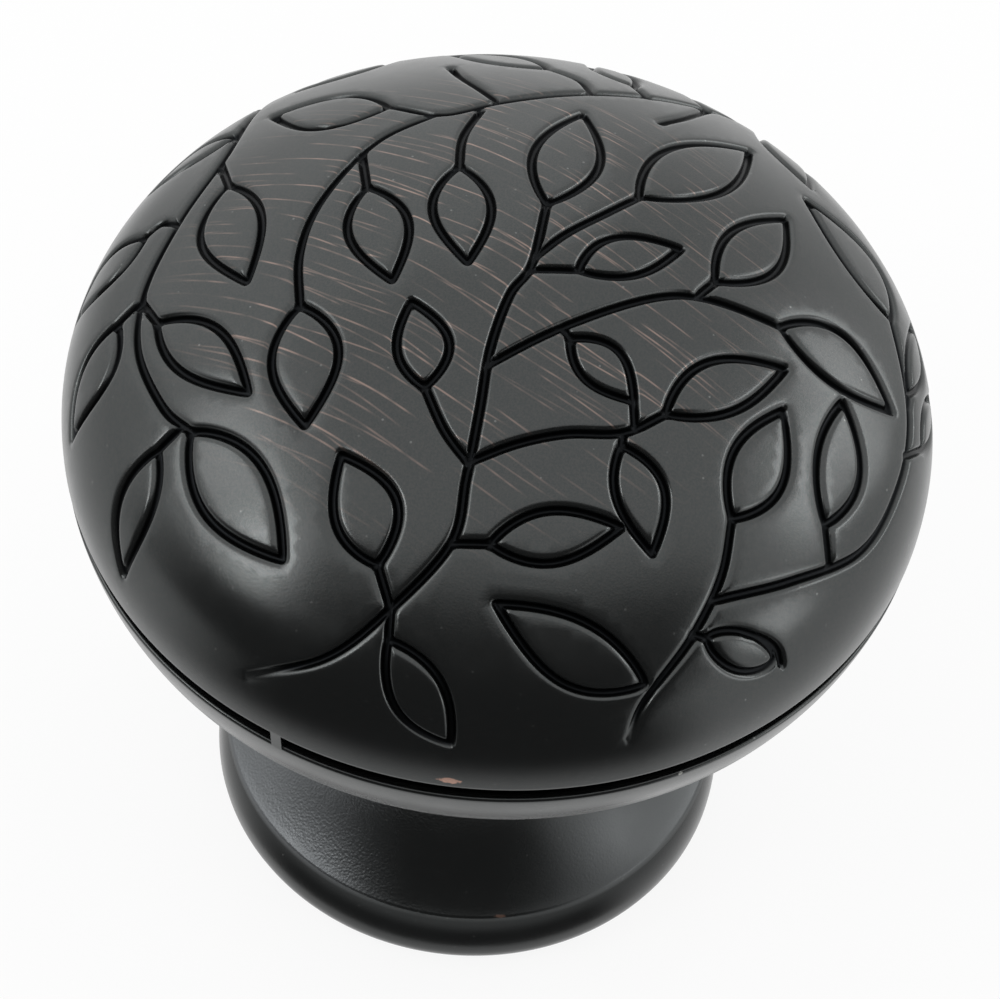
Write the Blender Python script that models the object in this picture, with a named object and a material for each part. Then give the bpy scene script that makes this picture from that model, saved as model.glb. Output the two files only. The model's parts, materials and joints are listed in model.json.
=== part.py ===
"""Vine cabinet knob, one casting: domed cap with a vine cut into it, neck, flare and round foot.

The knob stands on its foot. Its axis is +Z, its origin is the centre of the foot's seat, and the side
on which the vine's main stem rises faces -Y.
"""

from collections import namedtuple
import math

import bmesh
import bpy
from mathutils import Vector

MM = 0.001
WELD_DISTANCE = 0.001 * MM

# Cap: a wide crown arc that rolls over a shoulder to the widest line, then tucks in to the rim.
CAP_RADIUS = 19.0 * MM
CAP_WIDEST_HEIGHT = 26.9 * MM
CROWN_RADIUS = 25.5 * MM
SHOULDER_RADIUS = 6.4 * MM
TUCK_RADIUS = 10.5 * MM
TUCK_HEIGHT = 4.3 * MM
RIM_ROLL_RADIUS = 1.5 * MM

# Notch round the rim, measured down from the widest line.
NOTCH_DROP = 0.9 * MM
NOTCH_WIDTH = 0.8 * MM
NOTCH_DEPTH = 0.7 * MM

# Underside, neck and flare.
UNDERSIDE_SLOPE = math.radians(10.0)
NECK_RADIUS = 7.2 * MM
NECK_WAIST_HEIGHT = 12.5 * MM
NECK_FILLET_RADIUS = 4.2 * MM

# Foot: a bulged band with a crisp top edge, a rounded lower edge and a flat seat.
FOOT_RADIUS = 12.0 * MM
FOOT_HEIGHT = 3.7 * MM
FOOT_BULGE_RADIUS = 5.0 * MM
FOOT_BULGE_HEIGHT = 1.7 * MM
FOOT_EDGE_RADIUS = 1.4 * MM

# Blind hole for the fixing screw.
SCREW_HOLE_RADIUS = 1.75 * MM
SCREW_HOLE_DEPTH = 14.0 * MM
SCREW_HOLE_CHAMFER = 0.4 * MM
DRILL_TIP_ANGLE = math.radians(59.0)

# The cut that draws the vine.
VINE_WIDTH = 0.52 * MM
VINE_FLOOR_WIDTH = 0.24 * MM
VINE_DEPTH = 0.38 * MM
CUT_RISE = 0.30 * MM

# The vine's drawing lies flat, in units of which DRAWING_REACH run from the crown to the widest line.
DRAWING_REACH = 23.8
STEM_STEP = 1.8
LEAF_SIDE_STEPS = 5
LEAF_FULLNESS = 0.85
MITRE_LIMIT = 2.2

# Fineness of the turned surface: facets round it, and how far a facet may fall inside an arc.
TURN_STEPS = 60
FACET_DEPTH = 0.05 * MM
SHARP_EDGE_ANGLE = math.radians(30.0)

BRONZE = (0.030, 0.031, 0.032, 1.0)

Leaf = namedtuple("Leaf", "base tip left right")

# Leaves: foot of the leaf, tip, and how far its two sides swell left and right of that line.
LEAVES = [
    # Up the main stem and off its branches.
    Leaf((1.2, 3.2), (2.5, 10.4), 1.35, 1.55),
    Leaf((5.2, 4.7), (10.6, 12.0), 1.55, 1.75),
    Leaf((2.8, -0.4), (7.1, 2.1), 1.2, 0.9),
    Leaf((8.8, 0.9), (12.2, 6.9), 1.1, 1.5),
    Leaf((12.0, -0.3), (18.2, -1.6), 1.95, 1.1),
    Leaf((2.7, -3.9), (5.6, -6.2), 1.15, 0.9),
    Leaf((7.1, -6.4), (12.3, -2.4), 1.35, 1.0),
    Leaf((5.3, -8.3), (7.2, -12.5), 1.3, 0.9),
    Leaf((0.2, -13.2), (5.7, -11.7), 1.0, 1.15),
    Leaf((-3.2, -6.7), (-4.1, -2.7), 0.9, 1.3),
    Leaf((-4.6, -14.3), (-6.5, -9.7), 1.15, 1.6),
    Leaf((-3.9, -17.4), (-0.7, -21.9), 1.1, 1.3),
    # Hanging from the top stem.
    Leaf((-6.3, 10.4), (-12.0, 11.9), 2.0, 1.3),
    Leaf((-6.6, 3.9), (-5.0, -1.6), 1.3, 1.3),
    Leaf((-2.7, 5.1), (-1.9, -0.6), 1.2, 1.3),
    Leaf((-8.9, -2.6), (-8.2, -8.3), 1.6, 1.35),
    # Down the left side.
    Leaf((-13.8, 11.0), (-18.2, 9.0), 0.5, 1.3),
    Leaf((-13.3, 6.0), (-11.5, -0.8), 1.2, 1.75),
    Leaf((-17.4, 4.3), (-22.1, 2.0), 1.25, 1.3),
    Leaf((-18.1, -1.0), (-21.1, -5.7), 1.5, 0.95),
    Leaf((-15.8, -1.8), (-10.9, -6.5), 1.3, 1.1),
    Leaf((-13.5, -7.9), (-8.8, -14.1), 1.55, 1.6),
    Leaf((-15.2, -8.4), (-17.9, -13.5), 1.1, 1.05),
    # Round the right side.
    Leaf((7.8, -17.9), (0.7, -15.6), 1.7, 1.0),
    Leaf((10.3, -15.6), (13.6, -15.1), 0.6, 0.9),
    Leaf((10.6, -10.1), (12.4, -4.5), 1.2, 1.4),
    Leaf((15.2, -8.8), (15.5, -2.6), 0.95, 1.5),
    Leaf((18.2, 4.1), (13.5, 9.6), 0.9, 1.9),
    Leaf((19.5, 0.4), (20.5, 6.1), 0.6, 0.9),
    Leaf((20.9, -2.0), (22.5, 2.8), 0.8, 0.6),
    # Over the back.
    Leaf((12.2, 17.1), (13.9, 11.4), 1.1, 1.35),
    Leaf((17.6, 13.3), (20.2, 8.6), 0.9, 1.1),
    Leaf((4.9, 15.7), (3.0, 19.7), 0.9, 1.0),
    Leaf((0.8, 15.8), (-4.0, 18.7), 1.2, 1.1),
    Leaf((-7.0, 18.2), (-11.3, 15.2), 0.9, 0.9),
    Leaf((-13.4, 16.0), (-17.3, 13.0), 1.1, 1.0),
]

# Stems: each one is a smooth line through its points.
STEMS = [
    # Main stem, from its free end near the front rim to the leaf at its top.
    [(-10.4, -19.0), (-6.8, -18.2), (-3.9, -16.1), (-1.5, -13.3), (-1.1, -10.6), (-0.8, -7.6),
     (-0.6, -4.8), (0.0, -2.1), (0.8, -0.4), (1.2, 3.2)],
    [(-3.9, -16.1), (-3.9, -17.4)],
    [(-3.9, -16.1), (-4.6, -14.3)],
    [(-1.5, -13.3), (0.2, -13.2)],
    [(-1.0, -10.0), (-2.2, -8.6), (-3.2, -6.7)],
    [(-0.9, -9.8), (0.9, -8.9), (2.9, -8.2), (5.3, -7.7), (7.1, -6.4)],
    [(5.3, -7.7), (5.3, -8.3)],
    [(5.6, -6.2), (5.8, -7.4)],
    [(-0.7, -5.6), (2.3, -3.4), (6.1, -1.0), (8.4, -0.3), (12.0, -0.3)],
    [(2.3, -3.4), (2.7, -3.9)],
    [(8.0, -0.3), (8.8, 0.9)],
    [(0.8, -0.7), (2.8, -0.4)],
    [(0.9, 0.0), (2.1, 1.5), (3.7, 3.1), (5.2, 4.7)],
    # Top stem, from the upper left leaf to the back.
    [(-6.3, 10.4), (-3.8, 9.3), (-1.3, 10.6), (2.9, 12.9), (8.8, 15.8), (12.2, 17.1)],
    [(-4.2, 9.2), (-6.6, 7.1), (-8.6, 3.3), (-9.2, 0.3), (-8.9, -2.6)],
    [(-7.1, 6.4), (-6.6, 3.9)],
    [(-2.1, 9.7), (-2.7, 7.4), (-2.7, 5.1)],
    [(-1.5, 10.9), (-3.1, 13.4), (-3.8, 15.1)],
    [(8.8, 15.8), (7.4, 13.1), (6.1, 11.3)],
    [(2.9, 12.9), (2.3, 14.5), (0.8, 15.8)],
    [(5.6, 14.2), (4.9, 15.7)],
    [(12.2, 17.1), (15.3, 15.9), (17.6, 13.3)],
    # Left stem, from the back down to the lower left leaves.
    [(8.8, 15.8), (7.0, 19.2), (2.4, 21.6), (-3.4, 21.8), (-9.0, 19.6), (-12.6, 16.2), (-13.4, 13.1),
     (-14.0, 8.6), (-15.6, 4.3), (-16.8, 0.4), (-16.7, -3.0), (-15.1, -6.3), (-13.5, -7.9)],
    [(-7.6, 20.3), (-7.0, 18.2)],
    [(-12.6, 16.2), (-13.4, 16.0)],
    [(-13.6, 12.0), (-13.8, 11.0)],
    [(-14.1, 8.2), (-13.3, 6.0)],
    [(-15.6, 4.3), (-16.5, 4.8), (-17.4, 4.3)],
    [(-16.8, -0.1), (-18.1, -1.0)],
    [(-16.8, -0.3), (-15.8, -1.8)],
    [(-14.1, -7.6), (-15.2, -8.4)],
    # Right stems.
    [(7.7, -20.5), (8.0, -18.6), (9.6, -15.5), (10.5, -12.7), (10.6, -10.1)],
    [(9.6, -15.5), (10.3, -15.6)],
    [(10.3, -13.8), (13.9, -11.9), (17.5, -9.2), (19.1, -5.6), (19.5, -1.5), (18.2, 4.1)],
    [(15.8, -10.6), (15.2, -8.8)],
    [(19.4, -0.6), (19.5, 0.4)],
    [(19.4, -3.4), (20.9, -2.0)],
    [(12.3, -14.7), (14.1, -14.7), (14.8, -15.5)],
]


def arc(centre, radius, start, end):
    """Points of an arc in the profile plane, (distance from the axis, height), both ends included."""
    step_angle = 2.0 * math.acos(1.0 - FACET_DEPTH / radius)
    steps = math.ceil(abs(end - start) / step_angle)
    points = []
    for step in range(steps + 1):
        angle = start + (end - start) * step / steps
        points.append((centre[0] + radius * math.cos(angle), centre[1] + radius * math.sin(angle)))
    return points


def crown_half_angle():
    """Angle at the crown arc's centre between the axis and its joint with the shoulder."""
    return math.asin((CAP_RADIUS - SHOULDER_RADIUS) / (CROWN_RADIUS - SHOULDER_RADIUS))


def crown_centre_height():
    """Height of the crown arc's centre, from its tangent joint with the shoulder."""
    drop = (CROWN_RADIUS - SHOULDER_RADIUS) * math.cos(crown_half_angle())
    return CAP_WIDEST_HEIGHT - drop


def cap_reach():
    """Length over the surface from the crown to the widest line."""
    half_angle = crown_half_angle()
    return CROWN_RADIUS * half_angle + SHOULDER_RADIUS * (math.pi / 2 - half_angle)


def cap_point(reach):
    """Distance from the axis, height and slope of the cap's surface at a reach from the crown."""
    half_angle = crown_half_angle()
    crown_reach = CROWN_RADIUS * half_angle
    if reach < crown_reach:
        slope = reach / CROWN_RADIUS
        return (CROWN_RADIUS * math.sin(slope), crown_centre_height() + CROWN_RADIUS * math.cos(slope), slope)
    slope = half_angle + (reach - crown_reach) / SHOULDER_RADIUS
    across = CAP_RADIUS - SHOULDER_RADIUS + SHOULDER_RADIUS * math.sin(slope)
    return (across, CAP_WIDEST_HEIGHT + SHOULDER_RADIUS * math.cos(slope), slope)


def tuck_across(drop):
    """Distance from the axis of the tucked-in side, a drop below the widest line."""
    return CAP_RADIUS - TUCK_RADIUS + math.sqrt(TUCK_RADIUS ** 2 - drop ** 2)


def cap_profile():
    """Crown, shoulder, notch and rolled rim, from the axis outward and down."""
    half_angle = crown_half_angle()
    crown = arc((0.0, crown_centre_height()), CROWN_RADIUS, math.pi / 2, math.pi / 2 - half_angle)
    shoulder_centre = (CAP_RADIUS - SHOULDER_RADIUS, CAP_WIDEST_HEIGHT)
    shoulder = arc(shoulder_centre, SHOULDER_RADIUS, math.pi / 2 - half_angle, 0.0)
    lip_top = CAP_WIDEST_HEIGHT - NOTCH_DROP
    lip_low = lip_top - NOTCH_WIDTH
    floor = tuck_across(NOTCH_DROP) - NOTCH_DEPTH
    notch = [
        (tuck_across(NOTCH_DROP), lip_top),
        (floor, lip_top),
        (floor, lip_low),
        (tuck_across(NOTCH_DROP + NOTCH_WIDTH), lip_low),
    ]
    tuck_centre = (CAP_RADIUS - TUCK_RADIUS, CAP_WIDEST_HEIGHT)
    band_start = -math.asin((NOTCH_DROP + NOTCH_WIDTH) / TUCK_RADIUS)
    band_end = -math.asin(TUCK_HEIGHT / TUCK_RADIUS)
    band = arc(tuck_centre, TUCK_RADIUS, band_start, band_end)
    roll_centre = (
        tuck_across(TUCK_HEIGHT) - RIM_ROLL_RADIUS * math.cos(band_end),
        CAP_WIDEST_HEIGHT - TUCK_HEIGHT - RIM_ROLL_RADIUS * math.sin(band_end),
    )
    roll = arc(roll_centre, RIM_ROLL_RADIUS, band_end, -math.pi / 2 + UNDERSIDE_SLOPE)
    crown[0] = (0.0, crown[0][1])
    return crown + shoulder[1:] + notch + band[1:] + roll[1:]


def neck_profile(underside_start):
    """Sloped underside, fillet into the neck, and the hollow flare down to the foot's top edge."""
    fillet_across = NECK_RADIUS + NECK_FILLET_RADIUS
    tangent_across = fillet_across - NECK_FILLET_RADIUS * math.sin(UNDERSIDE_SLOPE)
    tangent_height = underside_start[1] - (underside_start[0] - tangent_across) * math.tan(UNDERSIDE_SLOPE)
    fillet_centre = (fillet_across, tangent_height - NECK_FILLET_RADIUS * math.cos(UNDERSIDE_SLOPE))
    fillet = arc(fillet_centre, NECK_FILLET_RADIUS, math.pi / 2 + UNDERSIDE_SLOPE, math.pi)
    edge_across, edge_height = foot_top_edge()
    flare_drop = NECK_WAIST_HEIGHT - edge_height
    flare_spread = edge_across - NECK_RADIUS
    flare_angle = 2.0 * math.atan(flare_spread / flare_drop)
    flare_radius = flare_drop / math.sin(flare_angle)
    flare_centre = (NECK_RADIUS + flare_radius, NECK_WAIST_HEIGHT)
    flare = arc(flare_centre, flare_radius, math.pi, math.pi + flare_angle)
    return fillet + flare[:-1]


def foot_top_edge():
    """The crisp edge where the flare meets the foot's bulged band."""
    rise = FOOT_HEIGHT - FOOT_BULGE_HEIGHT
    return (FOOT_RADIUS - FOOT_BULGE_RADIUS + math.sqrt(FOOT_BULGE_RADIUS ** 2 - rise ** 2), FOOT_HEIGHT)


def foot_profile():
    """Bulged band, rounded lower edge, flat seat and the screw hole up to its drilled tip."""
    bulge_centre = (FOOT_RADIUS - FOOT_BULGE_RADIUS, FOOT_BULGE_HEIGHT)
    spread = FOOT_BULGE_RADIUS - FOOT_EDGE_RADIUS
    sink = FOOT_BULGE_HEIGHT - FOOT_EDGE_RADIUS
    joint_angle = -math.asin(sink / spread)
    edge_centre = (bulge_centre[0] + spread * math.cos(joint_angle), FOOT_EDGE_RADIUS)
    top_angle = math.asin((FOOT_HEIGHT - FOOT_BULGE_HEIGHT) / FOOT_BULGE_RADIUS)
    band = arc(bulge_centre, FOOT_BULGE_RADIUS, top_angle, joint_angle)
    edge = arc(edge_centre, FOOT_EDGE_RADIUS, joint_angle, -math.pi / 2)
    hole = [
        (SCREW_HOLE_RADIUS + SCREW_HOLE_CHAMFER, 0.0),
        (SCREW_HOLE_RADIUS, SCREW_HOLE_CHAMFER),
        (SCREW_HOLE_RADIUS, SCREW_HOLE_DEPTH),
        (0.0, SCREW_HOLE_DEPTH + SCREW_HOLE_RADIUS / math.tan(DRILL_TIP_ANGLE)),
    ]
    return band + edge[1:-1] + [(edge_centre[0], 0.0)] + hole


def turned_mesh(name, profile):
    """Turn a profile once round +Z. Its two ends lie on the axis, so the shape is closed."""
    turned = bmesh.new()
    verts = [turned.verts.new((across, 0.0, height)) for across, height in profile]
    edges = [turned.edges.new(pair) for pair in zip(verts, verts[1:])]
    bmesh.ops.spin(
        turned, geom=verts + edges, cent=(0.0, 0.0, 0.0), axis=(0.0, 0.0, 1.0),
        angle=2.0 * math.pi, steps=TURN_STEPS,
    )
    bmesh.ops.remove_doubles(turned, verts=turned.verts, dist=WELD_DISTANCE)
    bmesh.ops.recalc_face_normals(turned, faces=turned.faces)
    mesh = bpy.data.meshes.new(name)
    turned.to_mesh(mesh)
    turned.free()
    mesh.shade_smooth()
    mesh.set_sharp_from_angle(angle=SHARP_EDGE_ANGLE)
    return mesh


def laid_on_cap(point):
    """Place and outward normal on the cap of a point of the flat drawing."""
    reach = math.hypot(point[0], point[1]) * cap_reach() / DRAWING_REACH
    bearing = math.atan2(point[1], point[0])
    across, height, slope = cap_point(reach)
    outward = Vector((math.cos(bearing), math.sin(bearing), 0.0))
    place = outward * across + Vector((0.0, 0.0, height))
    normal = outward * math.sin(slope) + Vector((0.0, 0.0, math.cos(slope)))
    return place, normal


def smooth_line(points):
    """Points about STEM_STEP apart on the Catmull-Rom curve through the given points."""
    points = [Vector(point) for point in points]
    ends = [2.0 * points[0] - points[1]] + points + [2.0 * points[-1] - points[-2]]
    line = [points[0]]
    for before, start, end, after in zip(ends, ends[1:], ends[2:], ends[3:]):
        steps = max(1, round((end - start).length / STEM_STEP))
        for step in range(1, steps + 1):
            t = step / steps
            line.append(0.5 * (
                2.0 * start
                + (end - before) * t
                + (2.0 * before - 5.0 * start + 4.0 * end - after) * t ** 2
                + (3.0 * start - before - 3.0 * end + after) * t ** 3
            ))
    return line


def leaf_outline(leaf):
    """Closed outline of a leaf: up its left side to the tip and back down its right side."""
    base = Vector(leaf.base)
    along = Vector(leaf.tip) - base
    leftward = Vector((-along.y, along.x)).normalized()
    outline = []
    for step in range(LEAF_SIDE_STEPS):
        t = step / LEAF_SIDE_STEPS
        outline.append(base + along * t + leftward * leaf.left * math.sin(math.pi * t ** LEAF_FULLNESS))
    for step in range(LEAF_SIDE_STEPS, 0, -1):
        t = step / LEAF_SIDE_STEPS
        outline.append(base + along * t - leftward * leaf.right * math.sin(math.pi * t ** LEAF_FULLNESS))
    return outline


def add_cut(cutter, line, closed):
    """Sweep the vine's cut along a line of the drawing, laid on the cap, as one closed tube."""
    laid = [laid_on_cap(point) for point in line]
    count = len(laid)
    flare = (VINE_WIDTH - VINE_FLOOR_WIDTH) / VINE_DEPTH
    section = [
        (0.5 * (VINE_WIDTH + flare * CUT_RISE), CUT_RISE),
        (-0.5 * (VINE_WIDTH + flare * CUT_RISE), CUT_RISE),
        (-0.5 * VINE_FLOOR_WIDTH, -VINE_DEPTH),
        (0.5 * VINE_FLOOR_WIDTH, -VINE_DEPTH),
    ]
    rings = []
    for index, (place, normal) in enumerate(laid):
        before = laid[index - 1][0] if closed or index > 0 else None
        after = laid[(index + 1) % count][0] if closed or index < count - 1 else None
        heading_in = (place - before).normalized() if before else (after - place).normalized()
        heading_out = (after - place).normalized() if after else heading_in
        side_in = heading_in.cross(normal).normalized()
        side_out = heading_out.cross(normal).normalized()
        sideways = (side_in + side_out).normalized()
        mitre = min(MITRE_LIMIT, 1.0 / sideways.dot(side_in))
        rings.append([
            cutter.verts.new(place + sideways * across * mitre + normal * rise) for across, rise in section
        ])
    spans = list(zip(rings, rings[1:]))
    if closed:
        spans.append((rings[-1], rings[0]))
    else:
        cutter.faces.new(rings[0])
        cutter.faces.new(reversed(rings[-1]))
    for ring, following in spans:
        for corner in range(4):
            facing = (corner + 1) % 4
            cutter.faces.new((ring[corner], following[corner], following[facing], ring[facing]))


def vine_cutter():
    """All the leaves and stems as one cutter."""
    cutter = bmesh.new()
    for leaf in LEAVES:
        add_cut(cutter, leaf_outline(leaf), closed=True)
    for stem in STEMS:
        add_cut(cutter, smooth_line(stem), closed=False)
    bmesh.ops.recalc_face_normals(cutter, faces=cutter.faces)
    mesh = bpy.data.meshes.new("vine_cut")
    cutter.to_mesh(mesh)
    cutter.free()
    cut = bpy.data.objects.new("vine_cut", mesh)
    cut.hide_render = True
    cut.display_type = "WIRE"
    bpy.context.scene.collection.objects.link(cut)
    return cut


def bronze_material():
    """Satin, near-black oil-rubbed bronze."""
    material = bpy.data.materials.new("oil_rubbed_bronze")
    material.use_nodes = True
    shader = material.node_tree.nodes["Principled BSDF"]
    shader.inputs["Base Color"].default_value = BRONZE
    shader.inputs["Metallic"].default_value = 0.6
    shader.inputs["Roughness"].default_value = 0.42
    return material


def build_knob():
    """The turned body with the vine cut into its cap."""
    cap = cap_profile()
    profile = cap + neck_profile(cap[-1]) + foot_profile()
    knob = bpy.data.objects.new("knob", turned_mesh("knob", profile))
    knob.data.materials.append(bronze_material())
    bpy.context.scene.collection.objects.link(knob)
    cut = knob.modifiers.new("vine", "BOOLEAN")
    cut.operation = "DIFFERENCE"
    cut.solver = "EXACT"
    cut.use_self = True
    cut.object = vine_cutter()
    return knob


def main():
    """Clear the scene and build the knob."""
    for leftover in list(bpy.data.objects):
        bpy.data.objects.remove(leftover, do_unlink=True)
    build_knob()


main()
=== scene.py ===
"""Vine cabinet knob, dressed for its picture.

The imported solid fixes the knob's place and size. The knob is one casting, so one fine piece stands for the
solid: a turned body from the widest line down to the seat, and above it the domed cap with the vine carved
into it. All sizes are in metres in the solid's own frame: the seat lies at z = 0 and the crown is at the top.
"""

from dataclasses import dataclass, field
from enum import Enum
import json
import logging
import math

import bpy
from mathutils import Matrix, Vector
from mathutils.geometry import delaunay_2d_cdt
from mathutils.kdtree import KDTree
import numpy as np

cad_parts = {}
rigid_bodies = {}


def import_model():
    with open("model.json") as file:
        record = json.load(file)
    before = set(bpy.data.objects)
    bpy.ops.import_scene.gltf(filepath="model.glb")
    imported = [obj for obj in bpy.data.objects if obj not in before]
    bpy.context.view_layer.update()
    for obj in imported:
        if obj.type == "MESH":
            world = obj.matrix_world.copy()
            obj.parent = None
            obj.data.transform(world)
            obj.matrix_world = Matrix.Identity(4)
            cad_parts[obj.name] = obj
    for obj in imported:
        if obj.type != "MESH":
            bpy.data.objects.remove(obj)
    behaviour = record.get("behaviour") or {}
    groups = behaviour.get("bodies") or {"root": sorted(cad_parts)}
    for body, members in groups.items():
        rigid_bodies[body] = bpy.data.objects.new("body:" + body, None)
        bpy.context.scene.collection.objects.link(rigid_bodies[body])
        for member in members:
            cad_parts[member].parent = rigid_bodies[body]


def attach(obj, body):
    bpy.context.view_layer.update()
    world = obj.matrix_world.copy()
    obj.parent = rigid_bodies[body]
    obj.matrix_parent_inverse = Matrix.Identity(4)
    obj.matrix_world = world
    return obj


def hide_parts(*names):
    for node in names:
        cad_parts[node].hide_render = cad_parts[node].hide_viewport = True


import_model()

log = logging.getLogger("vine_knob")

MM = 0.001

# How close two points are welded, how close a drawn corner is found again, and what keeps a division off 0.
WELD = 0.001 * MM
CORNER_CATCH = 0.01 * MM
TINY = 1e-6

TURN_STEPS = 240
FULL_TURN = 2.0 * math.pi

# How mathutils joins points by triangles: over their whole hull, and as one point within the tolerance.
WHOLE_HULL = 0
SAME_POINT = 1e-7

Spot = tuple[float, float]
Span = tuple[float, float]
Colour = tuple[float, float, float, float]


class RayKind(Enum):
    """The kinds of ray that see a white surround as white."""

    CAMERA = "Is Camera Ray"
    GLOSSY = "Is Glossy Ray"
    TRANSMISSION = "Is Transmission Ray"


# ---- The cap's form and the vine's drawing ----


@dataclass(frozen=True)
class CapForm:
    """The cap's smooth outer surface from the crown to the widest line: a crown arc, then a shoulder arc."""

    radius: float = 19.0 * MM
    widest_height: float = 26.9 * MM
    crown_radius: float = 25.5 * MM
    shoulder_radius: float = 6.4 * MM
    drawing_reach: float = 23.8

    @property
    def half_angle(self) -> float:
        """Angle of the crown arc between the axis and the shoulder."""
        return math.asin((self.radius - self.shoulder_radius) / (self.crown_radius - self.shoulder_radius))

    @property
    def reach(self) -> float:
        """Length over the surface from the crown to the widest line."""
        return self.crown_radius * self.half_angle + self.shoulder_radius * (math.pi / 2 - self.half_angle)

    def lay(self, points: np.ndarray) -> tuple[np.ndarray, np.ndarray]:
        """Lay points of the flat drawing over the cap.

        Args:
            points: Rows of x and y in drawing units, of which drawing_reach run from crown to widest line.

        Returns:
            The places on the cap and the outward normals there, one row each.
        """
        spread = np.hypot(points[:, 0], points[:, 1])
        reach = spread * self.reach / self.drawing_reach
        bearing = np.arctan2(points[:, 1], points[:, 0])
        half_angle = self.half_angle
        crown_reach = self.crown_radius * half_angle
        on_crown = reach < crown_reach
        slope = np.where(on_crown, reach / self.crown_radius,
                         half_angle + (reach - crown_reach) / self.shoulder_radius)
        centre_height = self.widest_height - (self.crown_radius - self.shoulder_radius) * math.cos(half_angle)
        across = np.where(on_crown, self.crown_radius * np.sin(slope),
                          self.radius - self.shoulder_radius + self.shoulder_radius * np.sin(slope))
        height = np.where(on_crown, centre_height + self.crown_radius * np.cos(slope),
                          self.widest_height + self.shoulder_radius * np.cos(slope))
        places = np.stack([across * np.cos(bearing), across * np.sin(bearing), height], axis=1)
        normals = np.stack([np.sin(slope) * np.cos(bearing), np.sin(slope) * np.sin(bearing), np.cos(slope)],
                           axis=1)
        return places, normals


@dataclass(frozen=True)
class Leaf:
    """One leaf of the drawing: its foot, its tip, and how far its sides swell left and right of that line."""

    base: Spot
    tip: Spot
    left: float
    right: float
    fullness: float = 0.87
    bluntness: float = 0.94

    def side(self, swell: float, steps: int = 48) -> np.ndarray:
        """One side of the leaf, from its foot to its tip.

        Args:
            swell: How far the side stands off the leaf's middle line, to the left where it is positive.
            steps: How many straight steps the side has.

        Returns:
            The side's points, one row each.
        """
        base = np.array(self.base)
        along = np.array(self.tip) - base
        leftward = np.array([-along[1], along[0]]) / np.hypot(*along)
        t = np.linspace(0.0, 1.0, steps + 1)[:, None]
        profile = np.clip(np.sin(np.pi * t ** self.fullness), 0.0, 1.0) ** self.bluntness
        return base + along * t + leftward * swell * profile

    def sides(self) -> list[np.ndarray]:
        """Both sides of the leaf."""
        return [self.side(self.left), self.side(-self.right)]


@dataclass(frozen=True)
class Stem:
    """One stem of the drawing: a smooth line through its points."""

    points: tuple[Spot, ...]

    def line(self, steps: int = 16) -> np.ndarray:
        """The smooth line through the stem's points.

        Args:
            steps: How many straight steps each span between two points has.

        Returns:
            The line's points, one row each.
        """
        points = np.array(self.points)
        ends = np.vstack([2.0 * points[0] - points[1], points, 2.0 * points[-1] - points[-2]])
        line = [points[:1]]
        t = (np.arange(1, steps + 1) / steps)[:, None]
        for before, start, end, after in zip(ends, ends[1:], ends[2:], ends[3:]):
            line.append(0.5 * (
                2.0 * start + (end - before) * t
                + (2.0 * before - 5.0 * start + 4.0 * end - after) * t ** 2
                + (3.0 * start - before - 3.0 * end + after) * t ** 3
            ))
        return np.vstack(line)


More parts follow.
